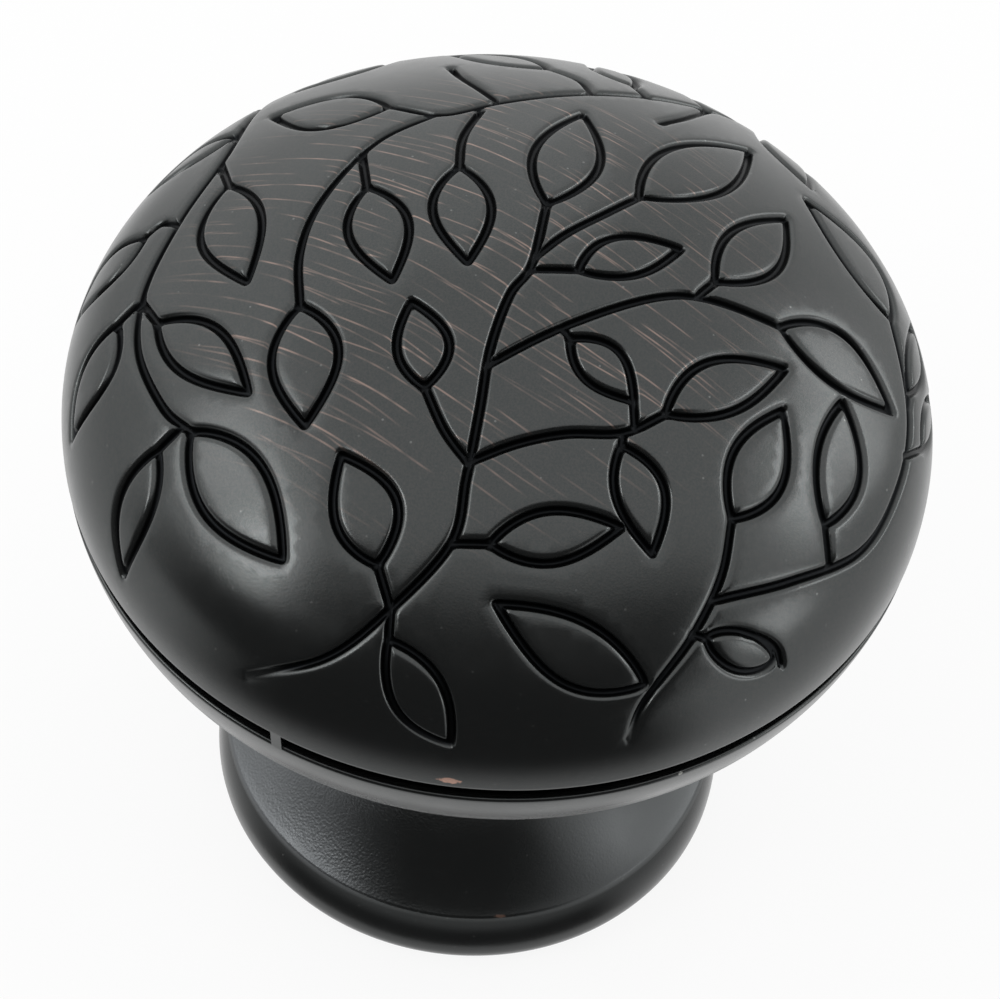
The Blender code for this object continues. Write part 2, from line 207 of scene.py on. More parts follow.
LEAVES = (
    # Up the main stem and off its branches.
    Leaf((1.2, 3.2), (2.5, 10.4), 1.35, 1.55),
    Leaf((5.2, 4.7), (10.6, 12.0), 1.55, 1.75),
    Leaf((2.8, -0.4), (7.1, 2.1), 1.2, 0.9),
    Leaf((8.8, 0.9), (12.2, 6.9), 1.1, 1.5),
    Leaf((12.0, -0.3), (18.2, -1.6), 1.95, 1.1),
    Leaf((2.7, -3.9), (5.6, -6.2), 1.15, 0.9),
    Leaf((7.1, -6.4), (12.3, -2.4), 1.35, 1.0),
    Leaf((5.3, -8.3), (7.2, -12.5), 1.3, 0.9),
    Leaf((0.2, -13.2), (5.7, -11.7), 1.0, 1.15),
    Leaf((-3.2, -6.7), (-4.1, -2.7), 0.9, 1.3),
    Leaf((-4.6, -14.3), (-6.5, -9.7), 1.15, 1.6),
    Leaf((-3.9, -17.4), (-0.8, -21.8), 1.1, 1.3, 1.0, 0.85),
    # Hanging from the top stem.
    Leaf((-6.3, 10.4), (-12.0, 11.9), 2.0, 1.3),
    Leaf((-6.6, 3.9), (-5.0, -1.6), 1.3, 1.3),
    Leaf((-2.7, 5.1), (-1.9, -0.6), 1.2, 1.3),
    Leaf((-8.9, -2.6), (-8.2, -8.3), 1.6, 1.35),
    # Down the left side.
    Leaf((-13.8, 11.0), (-18.2, 9.0), 0.5, 1.3),
    Leaf((-13.3, 6.0), (-11.5, -0.8), 1.2, 1.75),
    Leaf((-17.4, 4.3), (-22.1, 2.0), 1.25, 1.3),
    Leaf((-18.1, -1.0), (-21.1, -5.7), 1.5, 0.95),
    Leaf((-15.8, -1.8), (-10.9, -6.5), 1.3, 1.1),
    Leaf((-13.5, -7.9), (-8.9, -14.0), 1.55, 1.6, 0.9, 0.88),
    Leaf((-15.2, -8.4), (-17.9, -13.5), 1.1, 1.05),
    # Round the right side.
    Leaf((7.8, -17.9), (0.7, -15.6), 1.7, 1.0),
    Leaf((10.35, -15.4), (14.05, -15.35), 0.68, 1.0, 1.0, 0.55),
    Leaf((10.6, -10.1), (12.4, -4.5), 1.2, 1.4),
    Leaf((15.2, -8.8), (15.4, -2.7), 0.95, 1.45, 0.95, 0.85),
    Leaf((18.2, 4.1), (13.5, 9.6), 0.9, 1.9),
    Leaf((19.5, 0.4), (20.5, 6.1), 0.6, 0.9),
    Leaf((20.9, -2.0), (22.5, 2.8), 0.8, 0.6),
    # Over the back.
    Leaf((12.2, 17.1), (13.9, 11.4), 1.1, 1.35),
    Leaf((17.6, 13.3), (20.2, 8.6), 0.9, 1.1),
    Leaf((4.9, 15.7), (3.0, 19.7), 0.9, 1.0),
    Leaf((0.8, 15.8), (-4.0, 18.7), 1.2, 1.1),
    Leaf((-7.0, 18.2), (-11.3, 15.2), 0.9, 0.9),
    Leaf((-13.4, 16.0), (-17.3, 13.0), 1.1, 1.0),
)

STEMS = tuple(Stem(points) for points in (
    # Main stem, from its free end near the front rim to the leaf at its top.
    ((-10.9, -18.95), (-6.8, -18.2), (-3.9, -16.1), (-1.5, -13.3), (-1.1, -10.6), (-0.8, -7.6),
     (-0.6, -4.8), (0.0, -2.1), (0.8, -0.4), (1.2, 3.2)),
    ((-3.9, -16.1), (-3.9, -17.4)),
    ((-3.9, -16.1), (-4.6, -14.3)),
    ((-1.5, -13.3), (0.2, -13.2)),
    ((-1.0, -10.0), (-2.2, -8.6), (-3.2, -6.7)),
    ((-0.9, -9.8), (0.9, -8.9), (2.9, -8.2), (5.3, -7.7), (7.1, -6.4)),
    ((5.3, -7.7), (5.3, -8.3)),
    ((5.6, -6.2), (5.8, -7.4)),
    ((-0.7, -5.6), (2.3, -3.4), (6.1, -1.0), (8.4, -0.3), (12.0, -0.3)),
    ((2.3, -3.4), (2.7, -3.9)),
    ((8.0, -0.3), (8.8, 0.9)),
    ((0.8, -0.7), (2.8, -0.4)),
    ((0.9, 0.0), (2.1, 1.5), (3.7, 3.1), (5.2, 4.7)),
    # Top stem, from the upper left leaf to the back.
    ((-6.3, 10.4), (-3.8, 9.3), (-1.3, 10.6), (2.9, 12.9), (8.8, 15.8), (12.2, 17.1)),
    ((-4.2, 9.2), (-6.6, 7.1), (-8.6, 3.3), (-9.2, 0.3), (-8.9, -2.6)),
    ((-7.1, 6.4), (-6.6, 3.9)),
    ((-2.1, 9.7), (-2.7, 7.4), (-2.7, 5.1)),
    ((-1.5, 10.9), (-3.1, 13.4), (-3.8, 15.1)),
    ((8.8, 15.8), (7.4, 13.1), (6.1, 11.3)),
    ((2.9, 12.9), (2.3, 14.5), (0.8, 15.8)),
    ((5.6, 14.2), (4.9, 15.7)),
    ((12.2, 17.1), (15.3, 15.9), (17.6, 13.3)),
    # Left stem, from the back down to the lower left leaves.
    ((8.8, 15.8), (7.0, 19.2), (2.4, 21.6), (-3.4, 21.8), (-9.0, 19.6), (-12.6, 16.2), (-13.4, 13.1),
     (-14.0, 8.6), (-15.6, 4.3), (-16.8, 0.4), (-16.7, -3.0), (-15.1, -6.3), (-13.5, -7.9)),
    ((-7.6, 20.3), (-7.0, 18.2)),
    ((-12.6, 16.2), (-13.4, 16.0)),
    ((-13.6, 12.0), (-13.8, 11.0)),
    ((-14.1, 8.2), (-13.3, 6.0)),
    ((-15.6, 4.3), (-16.5, 4.8), (-17.4, 4.3)),
    ((-16.8, -0.1), (-18.1, -1.0)),
    ((-16.8, -0.3), (-15.8, -1.8)),
    ((-14.1, -7.6), (-15.2, -8.4)),
    # Right stems.
    ((7.7, -20.5), (8.0, -18.6), (9.6, -15.5), (10.5, -12.7), (10.6, -10.1)),
    ((9.6, -15.4), (10.35, -15.4)),
    ((10.3, -13.8), (13.9, -11.9), (17.5, -9.2), (19.1, -5.6), (19.5, -1.5), (18.2, 4.1)),
    ((15.8, -10.6), (15.2, -8.8)),
    ((19.4, -0.6), (19.5, 0.4)),
    ((19.4, -3.4), (20.9, -2.0)),
    ((12.2, -14.72), (13.2, -14.72), (14.05, -14.95), (14.6, -15.5)),
))

# Free ends of stems, where the cut runs out into the ground, each with the length over which it does so.
RUN_OUTS = (((-10.9, -18.95), 3.4), ((7.7, -20.5), 1.7))


# ---- The carved cap ----


@dataclass(frozen=True)
class CutSection:
    """The vine's cut: its depth at distances from its middle line, floor to soft lip, in millimetres."""

    distances: tuple[float, ...] = (0.0, 0.065, 0.108, 0.147, 0.19, 0.243, 0.32, 0.43)
    depths: tuple[float, ...] = (0.365, 0.35, 0.30, 0.21, 0.12, 0.055, 0.017, 0.0)

    def depth(self, distance: np.ndarray) -> np.ndarray:
        """Depth of the cut in metres at distances in metres from its middle line."""
        return np.interp(distance / MM, self.distances, self.depths) * MM


@dataclass
class CarvedCap:
    """The cap's skin from the crown to the widest line, with the vine cut into it.

    The cut has steep walls, a rounded floor and soft lips, and its stems and leaves meet at all angles. Edit
    mode has no tool that gives such lips over a whole drawing, so this skin is laid out point by point:
    rows of points follow each line of the vine at the section's distances, an even field of points fills
    the ground between, and each point is then sunk by the section's depth. Lengths are in drawing units,
    each of which is about a millimetre over the cap.

    Attributes:
        form: The smooth surface that the drawing lies on.
        section: The cut's section.
        station: Step between the points along the vine's lines.
        fine_station: Step between the places from which a point's distance to the vine is measured.
        ground: Step of the even field of points.
        ground_gap: Share of that step that the field keeps off the cut's outer lip.
        ground_margin: Share of that step that the field keeps off the edge.
        inner_ring: How far inside the edge the second ring of points lies.
        row_margin: How far the rows beside the lines keep off the edge.
        row_slack: Share of its own distance that a row's point has to keep off every line.
        least_gap: How close together two points may lie.
        end_turns: How many points ring each end of a line.
        run_out_depth: Share of the cut's depth that is left at a stem's free end.
        run_out_width: How many times wider the cut is there.
        rim_reach: Where the cut starts to get shallower towards the rim, and where it stops.
        rim_depth: Share of the cut's depth that is left from there on.
    """

    form: CapForm = field(default_factory=CapForm)
    section: CutSection = field(default_factory=CutSection)
    station: float = 0.23
    fine_station: float = 0.025
    ground: float = 0.46
    ground_gap: float = 0.3
    ground_margin: float = 0.75
    inner_ring: float = 0.33
    row_margin: float = 0.1
    row_slack: float = 0.93
    least_gap: float = 0.037
    end_turns: int = 14
    run_out_depth: float = 0.2
    run_out_width: float = 1.3
    rim_reach: Span = (16.5, 22.0)
    rim_depth: float = 0.72

    def lines(self) -> list[np.ndarray]:
        """Every line of the vine, each re-stepped at even stations."""
        found = [side for leaf in LEAVES for side in leaf.sides()] + [stem.line() for stem in STEMS]
        return [self.evenly(line, self.station) for line in found]

    @staticmethod
    def evenly(line: np.ndarray, step: float) -> np.ndarray:
        """Points at about even steps along a line, both of its ends included.

        Args:
            line: The line's points, one row each.
            step: The step wanted, in drawing units.

        Returns:
            The new points, one row each.
        """
        run = np.concatenate([[0.0], np.cumsum(np.hypot(*np.diff(line, axis=0).T))])
        stations = np.linspace(0.0, run[-1], max(2, round(run[-1] / step) + 1))
        return np.stack([np.interp(stations, run, line[:, 0]), np.interp(stations, run, line[:, 1])], axis=1)

    def beside(self, line: np.ndarray, offset: float) -> np.ndarray:
        """Points beside a line, square to it on the cap's surface.

        Args:
            line: The line's points.
            offset: How far beside, in drawing units, to the left where it is positive.

        Returns:
            The points beside, one row each.
        """
        heading = np.gradient(line, axis=0)
        spread = np.maximum(np.hypot(line[:, 0], line[:, 1]), TINY)
        outward = line / spread[:, None]
        round_it = np.stack([-outward[:, 1], outward[:, 0]], axis=1)
        places, _ = self.form.lay(line)
        shrink = np.hypot(places[:, 0], places[:, 1]) / MM / spread
        head_out = (heading * outward).sum(axis=1)
        head_round = (heading * round_it).sum(axis=1) * shrink
        length = np.hypot(head_out, head_round)
        return (line - outward * (offset * head_round / length)[:, None]
                + round_it * (offset * head_out / length / shrink)[:, None])

    def ground_points(self) -> np.ndarray:
        """An even three-way field of points over the whole drawing."""
        row_gap = self.ground * math.sqrt(3.0) / 2.0
        edge = self.form.drawing_reach
        rows = np.arange(-math.ceil(edge / row_gap), math.ceil(edge / row_gap) + 1)
        columns = np.arange(-math.ceil(edge / self.ground), math.ceil(edge / self.ground) + 1)
        grid_rows, grid_columns = np.meshgrid(rows, columns, indexing="ij")
        across = (grid_columns + 0.5 * (grid_rows % 2)) * self.ground
        points = np.stack([across.ravel(), (grid_rows * row_gap).ravel()], axis=1)
        return points[np.hypot(points[:, 0], points[:, 1]) < edge - self.ground_margin * self.ground]

    def edge_ring(self, reach: float, phase: float) -> np.ndarray:
        """A ring of points, one to each step of the turned body.

        Args:
            reach: The ring's distance from the crown, in drawing units.
            phase: How far round the ring starts, in steps.

        Returns:
            The ring's points, one row each.
        """
        angle = FULL_TURN * (np.arange(TURN_STEPS) + phase) / TURN_STEPS
        return np.stack([reach * np.cos(angle), reach * np.sin(angle)], axis=1)

    def nearest(self, tree: KDTree, points: np.ndarray) -> np.ndarray:
        """Distance in metres over the cap from each point to the vine's nearest line."""
        places, _ = self.form.lay(points)
        return np.array([tree.find(place)[2] for place in places])

    def sunk(self, tree: KDTree, points: np.ndarray) -> np.ndarray:
        """Depth of the cut at each point: less near the rim, and wide and faint where a stem runs out.

        Args:
            tree: The places along the vine's lines.
            points: Points of the drawing, one row each.

        Returns:
            The depth in metres at each point.
        """
        left = np.ones(len(points))
        for end, length in RUN_OUTS:
            left = np.minimum(left, np.hypot(points[:, 0] - end[0], points[:, 1] - end[1]) / length)
        width = np.interp(left, (0.0, 1.0), (self.run_out_width, 1.0))
        depth = np.interp(left, (0.0, 1.0), (self.run_out_depth, 1.0))
        reach = np.hypot(points[:, 0], points[:, 1])
        depth *= np.interp(reach, self.rim_reach, (1.0, self.rim_depth))
        return self.section.depth(self.nearest(tree, points) / width) * depth

    def vine_tree(self, lines: list[np.ndarray]) -> KDTree:
        """A search tree of closely set places along all the lines."""
        dense = np.vstack([self.evenly(line, self.fine_station) for line in lines])
        places, _ = self.form.lay(dense)
        tree = KDTree(len(places))
        for number, place in enumerate(places):
            tree.insert(place, number)
        tree.balance()
        return tree

    def thinned(self, groups: list[np.ndarray]) -> np.ndarray:
        """Drop points that crowd an earlier one.

        Args:
            groups: Arrays of points, the ones to keep first.

        Returns:
            The points that stand at least least_gap apart.
        """
        kept: list[Spot] = []
        cells: dict[tuple[int, int], list[Spot]] = {}
        around = [(i, j) for i in (-1, 0, 1) for j in (-1, 0, 1)]
        for x, y in np.vstack(groups).tolist():
            column, row = math.floor(x / self.least_gap), math.floor(y / self.least_gap)
            near = (spot for i, j in around for spot in cells.get((column + i, row + j), ()))
            if all((x - a) ** 2 + (y - b) ** 2 >= self.least_gap ** 2 for a, b in near):
                cells.setdefault((column, row), []).append((x, y))
                kept.append((x, y))
        return np.array(kept)

    def side_rows(self, lines: list[np.ndarray], tree: KDTree) -> list[np.ndarray]:
        """Rows of points beside the lines and round their ends, a group for each distance of the section.

        Args:
            lines: The vine's lines.
            tree: The places along them.

        Returns:
            The groups of points, the nearest to the lines first.
        """
        turns = np.linspace(0.0, FULL_TURN, self.end_turns, endpoint=False)
        circle = np.stack([np.cos(turns), np.sin(turns)], axis=1)
        ends = np.vstack([line[[0, -1]] for line in lines])
        edge = self.form.drawing_reach - self.row_margin
        groups = []
        for offset in self.section.distances[1:]:
            rows = [self.beside(line, side * offset) for line in lines for side in (-1.0, 1.0)]
            rings = (ends[:, None, :] + circle[None] * offset).reshape(-1, 2)
            both = np.vstack([*rows, rings])
            both = both[np.hypot(both[:, 0], both[:, 1]) < edge]
            groups.append(both[self.nearest(tree, both) > self.row_slack * offset * MM])
        return groups

    def skin_points(self, lines: list[np.ndarray], tree: KDTree) -> np.ndarray:
        """All the points of the skin: the edge's two rings, the vine's lines and rows, and the ground.

        Args:
            lines: The vine's lines.
            tree: The places along them.

        Returns:
            The points, one row each, with those of the two rings first.
        """
        edge = self.form.drawing_reach
        rings = [self.edge_ring(edge, 0.0), self.edge_ring(edge - self.inner_ring, 0.5)]
        ground = self.ground_points()
        clear = (self.section.distances[-1] + self.ground_gap * self.ground) * MM
        ground = ground[self.nearest(tree, ground) > clear]
        return self.thinned([*rings, np.vstack(lines), *self.side_rows(lines, tree), ground])

    def build(self) -> bpy.types.Object:
        """Lay out the skin's points, join them by triangles and sink the vine.

        Returns:
            The skin, open at the widest line, with its depth kept as the attribute "carving".
        """
        lines = self.lines()
        tree = self.vine_tree(lines)
        points = self.skin_points(lines, tree)
        depth = self.sunk(tree, points)
        depth[:2 * TURN_STEPS] = 0.0
        places, normals = self.form.lay(points)
        places = places - normals * depth[:, None]
        flat = [Vector(point) for point in points]
        corners, _, triangles, origins, *_ = delaunay_2d_cdt(flat, [], [], WHOLE_HULL, SAME_POINT, True)
        if len(corners) != len(points):
            raise ValueError(f"the cap's skin lost points: {len(points)} went in, {len(corners)} came out")
        order = [origin[0] for origin in origins]
        mesh = bpy.data.meshes.new("carved_cap")
        faces = [[order[corner] for corner in triangle] for triangle in triangles]
        mesh.from_pydata(places.tolist(), [], faces)
        carving = mesh.attributes.new("carving", "FLOAT", "POINT")
        carving.data.foreach_set("value", (depth / MM / max(self.section.depths)).astype(np.float32))
        skin = bpy.data.objects.new("carved_cap", mesh)
        bpy.context.scene.collection.objects.link(skin)
        log.info("carved cap: %d points, %d faces", len(points), len(faces))
        return skin


# ---- The turned body ----


def select_only(piece: bpy.types.Object) -> None:
    """Deselect everything, then select one object and make it active."""
    for other in bpy.context.view_layer.objects:
        other.select_set(False)
    piece.select_set(True)
    bpy.context.view_layer.objects.active = piece


class Lathe:
    """Draws a profile as a wire in the plane y = 0, point by point, and turns it round the knob's axis."""

    def __init__(self, name: str, start: Spot) -> None:
        """Begin the wire with one point, merged from a small plane.

        Args:
            name: The turned piece's name.
            start: Distance from the axis and height of the first point.
        """
        bpy.ops.object.select_all(action="DESELECT")
        bpy.ops.mesh.primitive_plane_add(size=MM, location=(start[0], 0.0, start[1]))
        self.piece = bpy.context.object
        self.piece.name = name
        bpy.ops.object.transform_apply(location=True, rotation=True, scale=True)
        bpy.ops.object.mode_set(mode="EDIT")
        bpy.ops.mesh.select_mode(type="VERT")
        bpy.ops.mesh.select_all(action="SELECT")
        bpy.ops.mesh.merge(type="CENTER")
        self.spot = start

    def straight_to(self, *spots: Spot) -> "Lathe":
        """Extrude the wire's end to each spot in turn."""
        for spot in spots:
            move = (spot[0] - self.spot[0], 0.0, spot[1] - self.spot[1])
            bpy.ops.mesh.extrude_region_move(TRANSFORM_OT_translate={"value": move})
            self.spot = spot
        return self

    def arc_about(self, centre: Spot, turn: float, steps: int) -> "Lathe":
        """Spin the wire's end about a centre.

        Args:
            centre: Distance from the axis and height of the arc's centre.
            turn: Angle of the arc, from across towards up where it is positive.
            steps: How many straight steps the arc has.

        Returns:
            The lathe, with the wire's end at the arc's end.
        """
        bpy.ops.mesh.spin(
            steps=steps, angle=abs(turn), center=(centre[0], 0.0, centre[1]),
            axis=(0.0, math.copysign(1.0, turn), 0.0),
        )
        across, up = self.spot[0] - centre[0], self.spot[1] - centre[1]
        self.spot = (centre[0] + across * math.cos(turn) - up * math.sin(turn),
                     centre[1] + across * math.sin(turn) + up * math.cos(turn))
        return self

    def soften(self, spots: list[Spot], width: float, segments: int = 3) -> None:
        """Round the wire's corners at the given spots.

        Args:
            spots: Distance from the axis and height of each corner.
            width: How far the rounding reaches along the wire.
            segments: How many straight steps the rounding has.
        """
        bpy.ops.mesh.select_all(action="DESELECT")
        bpy.ops.object.mode_set(mode="OBJECT")
        for vertex in self.piece.data.vertices:
            vertex.select = any(math.hypot(vertex.co.x - a, vertex.co.z - b) < CORNER_CATCH for a, b in spots)
        bpy.ops.object.mode_set(mode="EDIT")
        bpy.ops.mesh.bevel(offset=width, segments=segments, affect="VERTICES")

    def turn(self, angle: float = FULL_TURN, steps: int = TURN_STEPS) -> bpy.types.Object:
        """Turn the wire round the axis, weld its seam and point its faces outward.

        Args:
            angle: How far round the wire is turned.
            steps: How many flats that makes.

        Returns:
            The turned piece.
        """
        bpy.ops.mesh.select_all(action="SELECT")
        bpy.ops.mesh.spin(steps=steps, angle=angle, center=(0.0, 0.0, 0.0), axis=(0.0, 0.0, -1.0))
        bpy.ops.mesh.select_all(action="SELECT")
        bpy.ops.mesh.remove_doubles(threshold=WELD)
        bpy.ops.mesh.normals_make_consistent(inside=False)
        bpy.ops.object.mode_set(mode="OBJECT")
        return self.piece


@dataclass
class TurnedBody:
    """Everything below the widest line: the notched rim, underside, neck, flare, foot and screw hole.

    The fields whose names end in steps or segments say of how many straight steps an arc is made. The notch
    is found again on the turned body within lip_catch times each lip's rounding above and below it, and one
    side of the nib within nib_catch of a flat of the turning.
    """

    form: CapForm = field(default_factory=CapForm)
    tuck_radius: float = 10.5 * MM
    tuck_height: float = 4.3 * MM
    rim_roll_radius: float = 1.5 * MM
    notch_drop: float = 0.72 * MM
    notch_width: float = 0.93 * MM
    notch_depth: float = 0.7 * MM
    notch_upper_lip: float = 0.07 * MM
    notch_lower_lip: float = 0.16 * MM
    nib_bearing: float = math.radians(245.3)
    nib_reach: float = 18.0 * MM
    underside_slope: float = math.radians(10.0)
    neck_radius: float = 7.2 * MM
    waist_height: float = 12.5 * MM
    neck_fillet: float = 4.2 * MM
    foot_radius: float = 12.0 * MM
    bulge_radius: float = 5.0 * MM
    bulge_height: float = 1.7 * MM
    bead_radius: float = 0.3 * MM
    bead_low: float = math.radians(23.3)
    bead_high: float = math.radians(62.0)
    foot_edge: float = 1.4 * MM
    hole_radius: float = 1.75 * MM
    hole_depth: float = 14.0 * MM
    hole_chamfer: float = 0.4 * MM
    drill_tip: float = math.radians(59.0)
    crease: float = math.radians(40.0)
    lip_steps: int = 4
    lower_lip_segments: int = 5
    band_steps: int = 9
    roll_steps: int = 9
    underside_shares: tuple[float, ...] = (0.33, 0.67, 1.0)
    fillet_steps: int = 12
    flare_steps: int = 22
    bead_steps: int = 6
    bulge_steps: int = 10
    edge_steps: int = 8
    lip_catch: float = 1.25
    nib_catch: float = 0.1

    @property
    def notch_top(self) -> float:
        """Height of the notch's upper lip."""
        return self.form.widest_height - self.notch_drop

    @property
    def notch_bottom(self) -> float:
        """Height of the notch's lower lip."""
        return self.form.widest_height - self.notch_drop - self.notch_width

    def tuck_across(self, drop: float) -> float:
        """Distance from the axis of the tucked-in side, a drop below the widest line."""
        return self.form.radius - self.tuck_radius + math.sqrt(self.tuck_radius ** 2 - drop ** 2)

    def bead_centre(self) -> Spot:
        """Centre of the fine bead along the foot's upper edge, which runs on into the bulged band."""
        spread = self.bulge_radius - self.bead_radius
        return (self.foot_radius - self.bulge_radius + spread * math.cos(self.bead_low),
                self.bulge_height + spread * math.sin(self.bead_low))

    def foot_top(self) -> Spot:
        """Where the flare meets the bead."""
        across, height = self.bead_centre()
        return (across + self.bead_radius * math.cos(self.bead_high),
                height + self.bead_radius * math.sin(self.bead_high))

    def rim(self, lathe: Lathe) -> list[Spot]:
        """Draw the tucked-in side with its notch, and the rolled rim.

        Args:
            lathe: The lathe, with its wire's end on the widest line.

        Returns:
            The notch's two lips, to be softened.
        """
        centre = (self.form.radius - self.tuck_radius, self.form.widest_height)
        upper = math.asin(self.notch_drop / self.tuck_radius)
        lower = math.asin((self.notch_drop + self.notch_width) / self.tuck_radius)
        end = math.asin(self.tuck_height / self.tuck_radius)
        lathe.arc_about(centre, -upper, self.lip_steps)
        upper_lip = lathe.spot
        floor = upper_lip[0] - self.notch_depth
        lower_lip = (self.tuck_across(self.notch_drop + self.notch_width), self.notch_bottom)
        lathe.straight_to((floor, upper_lip[1]), (floor, self.notch_bottom), lower_lip)
        lathe.arc_about(centre, -(end - lower), self.band_steps)
        rim_end = lathe.spot
        roll_centre = (rim_end[0] - self.rim_roll_radius * math.cos(end),
                       rim_end[1] + self.rim_roll_radius * math.sin(end))
        lathe.arc_about(roll_centre, -(math.pi / 2 - self.underside_slope - end), self.roll_steps)
        return [upper_lip, lower_lip]

    def neck(self, lathe: Lathe) -> None:
        """Draw the sloped underside, the fillet into the neck and the hollow flare down to the foot."""
        slope = self.underside_slope
        across = self.neck_radius + self.neck_fillet
        tangent_across = across - self.neck_fillet * math.sin(slope)
        tangent_height = lathe.spot[1] - (lathe.spot[0] - tangent_across) * math.tan(slope)
        under = lathe.spot
        for share in self.underside_shares:
            lathe.straight_to((under[0] + (tangent_across - under[0]) * share,
                               under[1] + (tangent_height - under[1]) * share))
        fillet_centre = (across, tangent_height - self.neck_fillet * math.cos(slope))
        lathe.arc_about(fillet_centre, math.pi / 2 - slope, self.fillet_steps)
        lathe.straight_to((self.neck_radius, self.waist_height))
        edge_across, edge_height = self.foot_top()
        drop = self.waist_height - edge_height
        flare_angle = 2.0 * math.atan((edge_across - self.neck_radius) / drop)
        flare_radius = drop / math.sin(flare_angle)
        flare_centre = (self.neck_radius + flare_radius, self.waist_height)
        lathe.arc_about(flare_centre, flare_angle, self.flare_steps)

    def foot(self, lathe: Lathe) -> None:
        """Draw the foot's bead, bulged band, rounded lower edge, flat seat and screw hole."""
        centre = (self.foot_radius - self.bulge_radius, self.bulge_height)
        spread = self.bulge_radius - self.foot_edge
        joint = math.asin((self.bulge_height - self.foot_edge) / spread)
        lathe.arc_about(self.bead_centre(), -(self.bead_high - self.bead_low), self.bead_steps)
        lathe.arc_about(centre, -(self.bead_low + joint), self.bulge_steps)
        edge_centre = (centre[0] + spread * math.cos(joint), self.foot_edge)
        lathe.arc_about(edge_centre, -(math.pi / 2 - joint), self.edge_steps)
        mouth = self.hole_radius + self.hole_chamfer
        lathe.straight_to((0.5 * (lathe.spot[0] + mouth), 0.0), (mouth, 0.0),
                          (self.hole_radius, self.hole_chamfer), (self.hole_radius, self.hole_depth),
                          (0.0, self.hole_depth + self.hole_radius / math.tan(self.drill_tip)))

    def bridge_notch(self, body: bpy.types.Object) -> None:
        """Leave the casting's small nib across the notch, one flat of the turning wide.

        Args:
            body: The turned body.
        """
        mesh = body.data
        step = FULL_TURN / TURN_STEPS
        first = math.floor(self.nib_bearing / step)
        low = self.notch_bottom - self.lip_catch * self.notch_lower_lip
        high = self.notch_top + self.lip_catch * self.notch_upper_lip

        def side_of(place: Vector) -> int:
            """0 or 1 for a notch point on the nib's first or second side, otherwise -1."""
            turned = math.atan2(place.y, place.x) % FULL_TURN / step - first
            if low < place.z < high and math.hypot(place.x, place.y) > self.nib_reach:
                return next((side for side in (0, 1) if abs(turned - side) < self.nib_catch), -1)
            return -1

        def height(number: int) -> float:
            """Height of one of the body's points."""
            return mesh.vertices[number].co.z

        sides = [side_of(vertex.co) for vertex in mesh.vertices]
        select_only(body)
        bpy.ops.object.mode_set(mode="EDIT")
        bpy.ops.mesh.select_mode(type="FACE")
        bpy.ops.mesh.select_all(action="DESELECT")
        bpy.ops.object.mode_set(mode="OBJECT")
        for face in mesh.polygons:
            face.select = all(sides[corner] >= 0 for corner in face.vertices)
        bpy.ops.object.mode_set(mode="EDIT")
        bpy.ops.mesh.delete(type="FACE")
        bpy.ops.mesh.select_mode(type="VERT")
        ends = []
        for side in (0, 1):
            ring = [number for number, which in enumerate(sides) if which == side]
            ends += [max(ring, key=height), min(ring, key=height)]
            self.fill(body, ring)
        self.fill(body, ends)
        bpy.ops.mesh.select_all(action="SELECT")
        bpy.ops.mesh.normals_make_consistent(inside=False)
        bpy.ops.object.mode_set(mode="OBJECT")

    @staticmethod
    def fill(body: bpy.types.Object, corners: list[int]) -> None:
        """Fill one face between the given corners, in edit mode."""
        bpy.ops.mesh.select_all(action="DESELECT")
        bpy.ops.object.mode_set(mode="OBJECT")
        for number in corners:
            body.data.vertices[number].select = True
        bpy.ops.object.mode_set(mode="EDIT")
        bpy.ops.mesh.edge_face_add()

    def mark_notch(self, body: bpy.types.Object) -> None:
        """Note the notch's floor as deeply cut, for the finish."""
        carving = body.data.attributes.new("carving", "FLOAT", "POINT")
        low = self.notch_bottom - 0.5 * self.notch_width
        for point, vertex in zip(carving.data, body.data.vertices):
            inside = math.hypot(vertex.co.x, vertex.co.y) < self.form.radius - 0.5 * self.notch_depth
            point.value = 1.0 if inside and low < vertex.co.z else 0.0

    def build(self) -> bpy.types.Object:
        """Draw the whole profile and turn it.

        Returns:
            The turned body, open at the widest line.
        """
        lathe = Lathe("turned_body", (self.form.radius, self.form.widest_height))
        lips = self.rim(lathe)
        self.neck(lathe)
        self.foot(lathe)
        lathe.soften(lips[:1], self.notch_upper_lip)
        lathe.soften(lips[1:], self.notch_lower_lip, self.lower_lip_segments)
        body = lathe.turn()
        self.bridge_notch(body)
        self.mark_notch(body)
        select_only(body)
        bpy.ops.object.shade_smooth_by_angle(angle=self.crease)
        log.info("turned body: %d points", len(body.data.vertices))
        return body


# ---- Finishes ----


@dataclass(frozen=True)
class Noise:
    """One noise pattern: how many waves it has to a millimetre, and how fine and how strong its detail is."""

    scale: float
    detail: float
    strength: float = 0.5


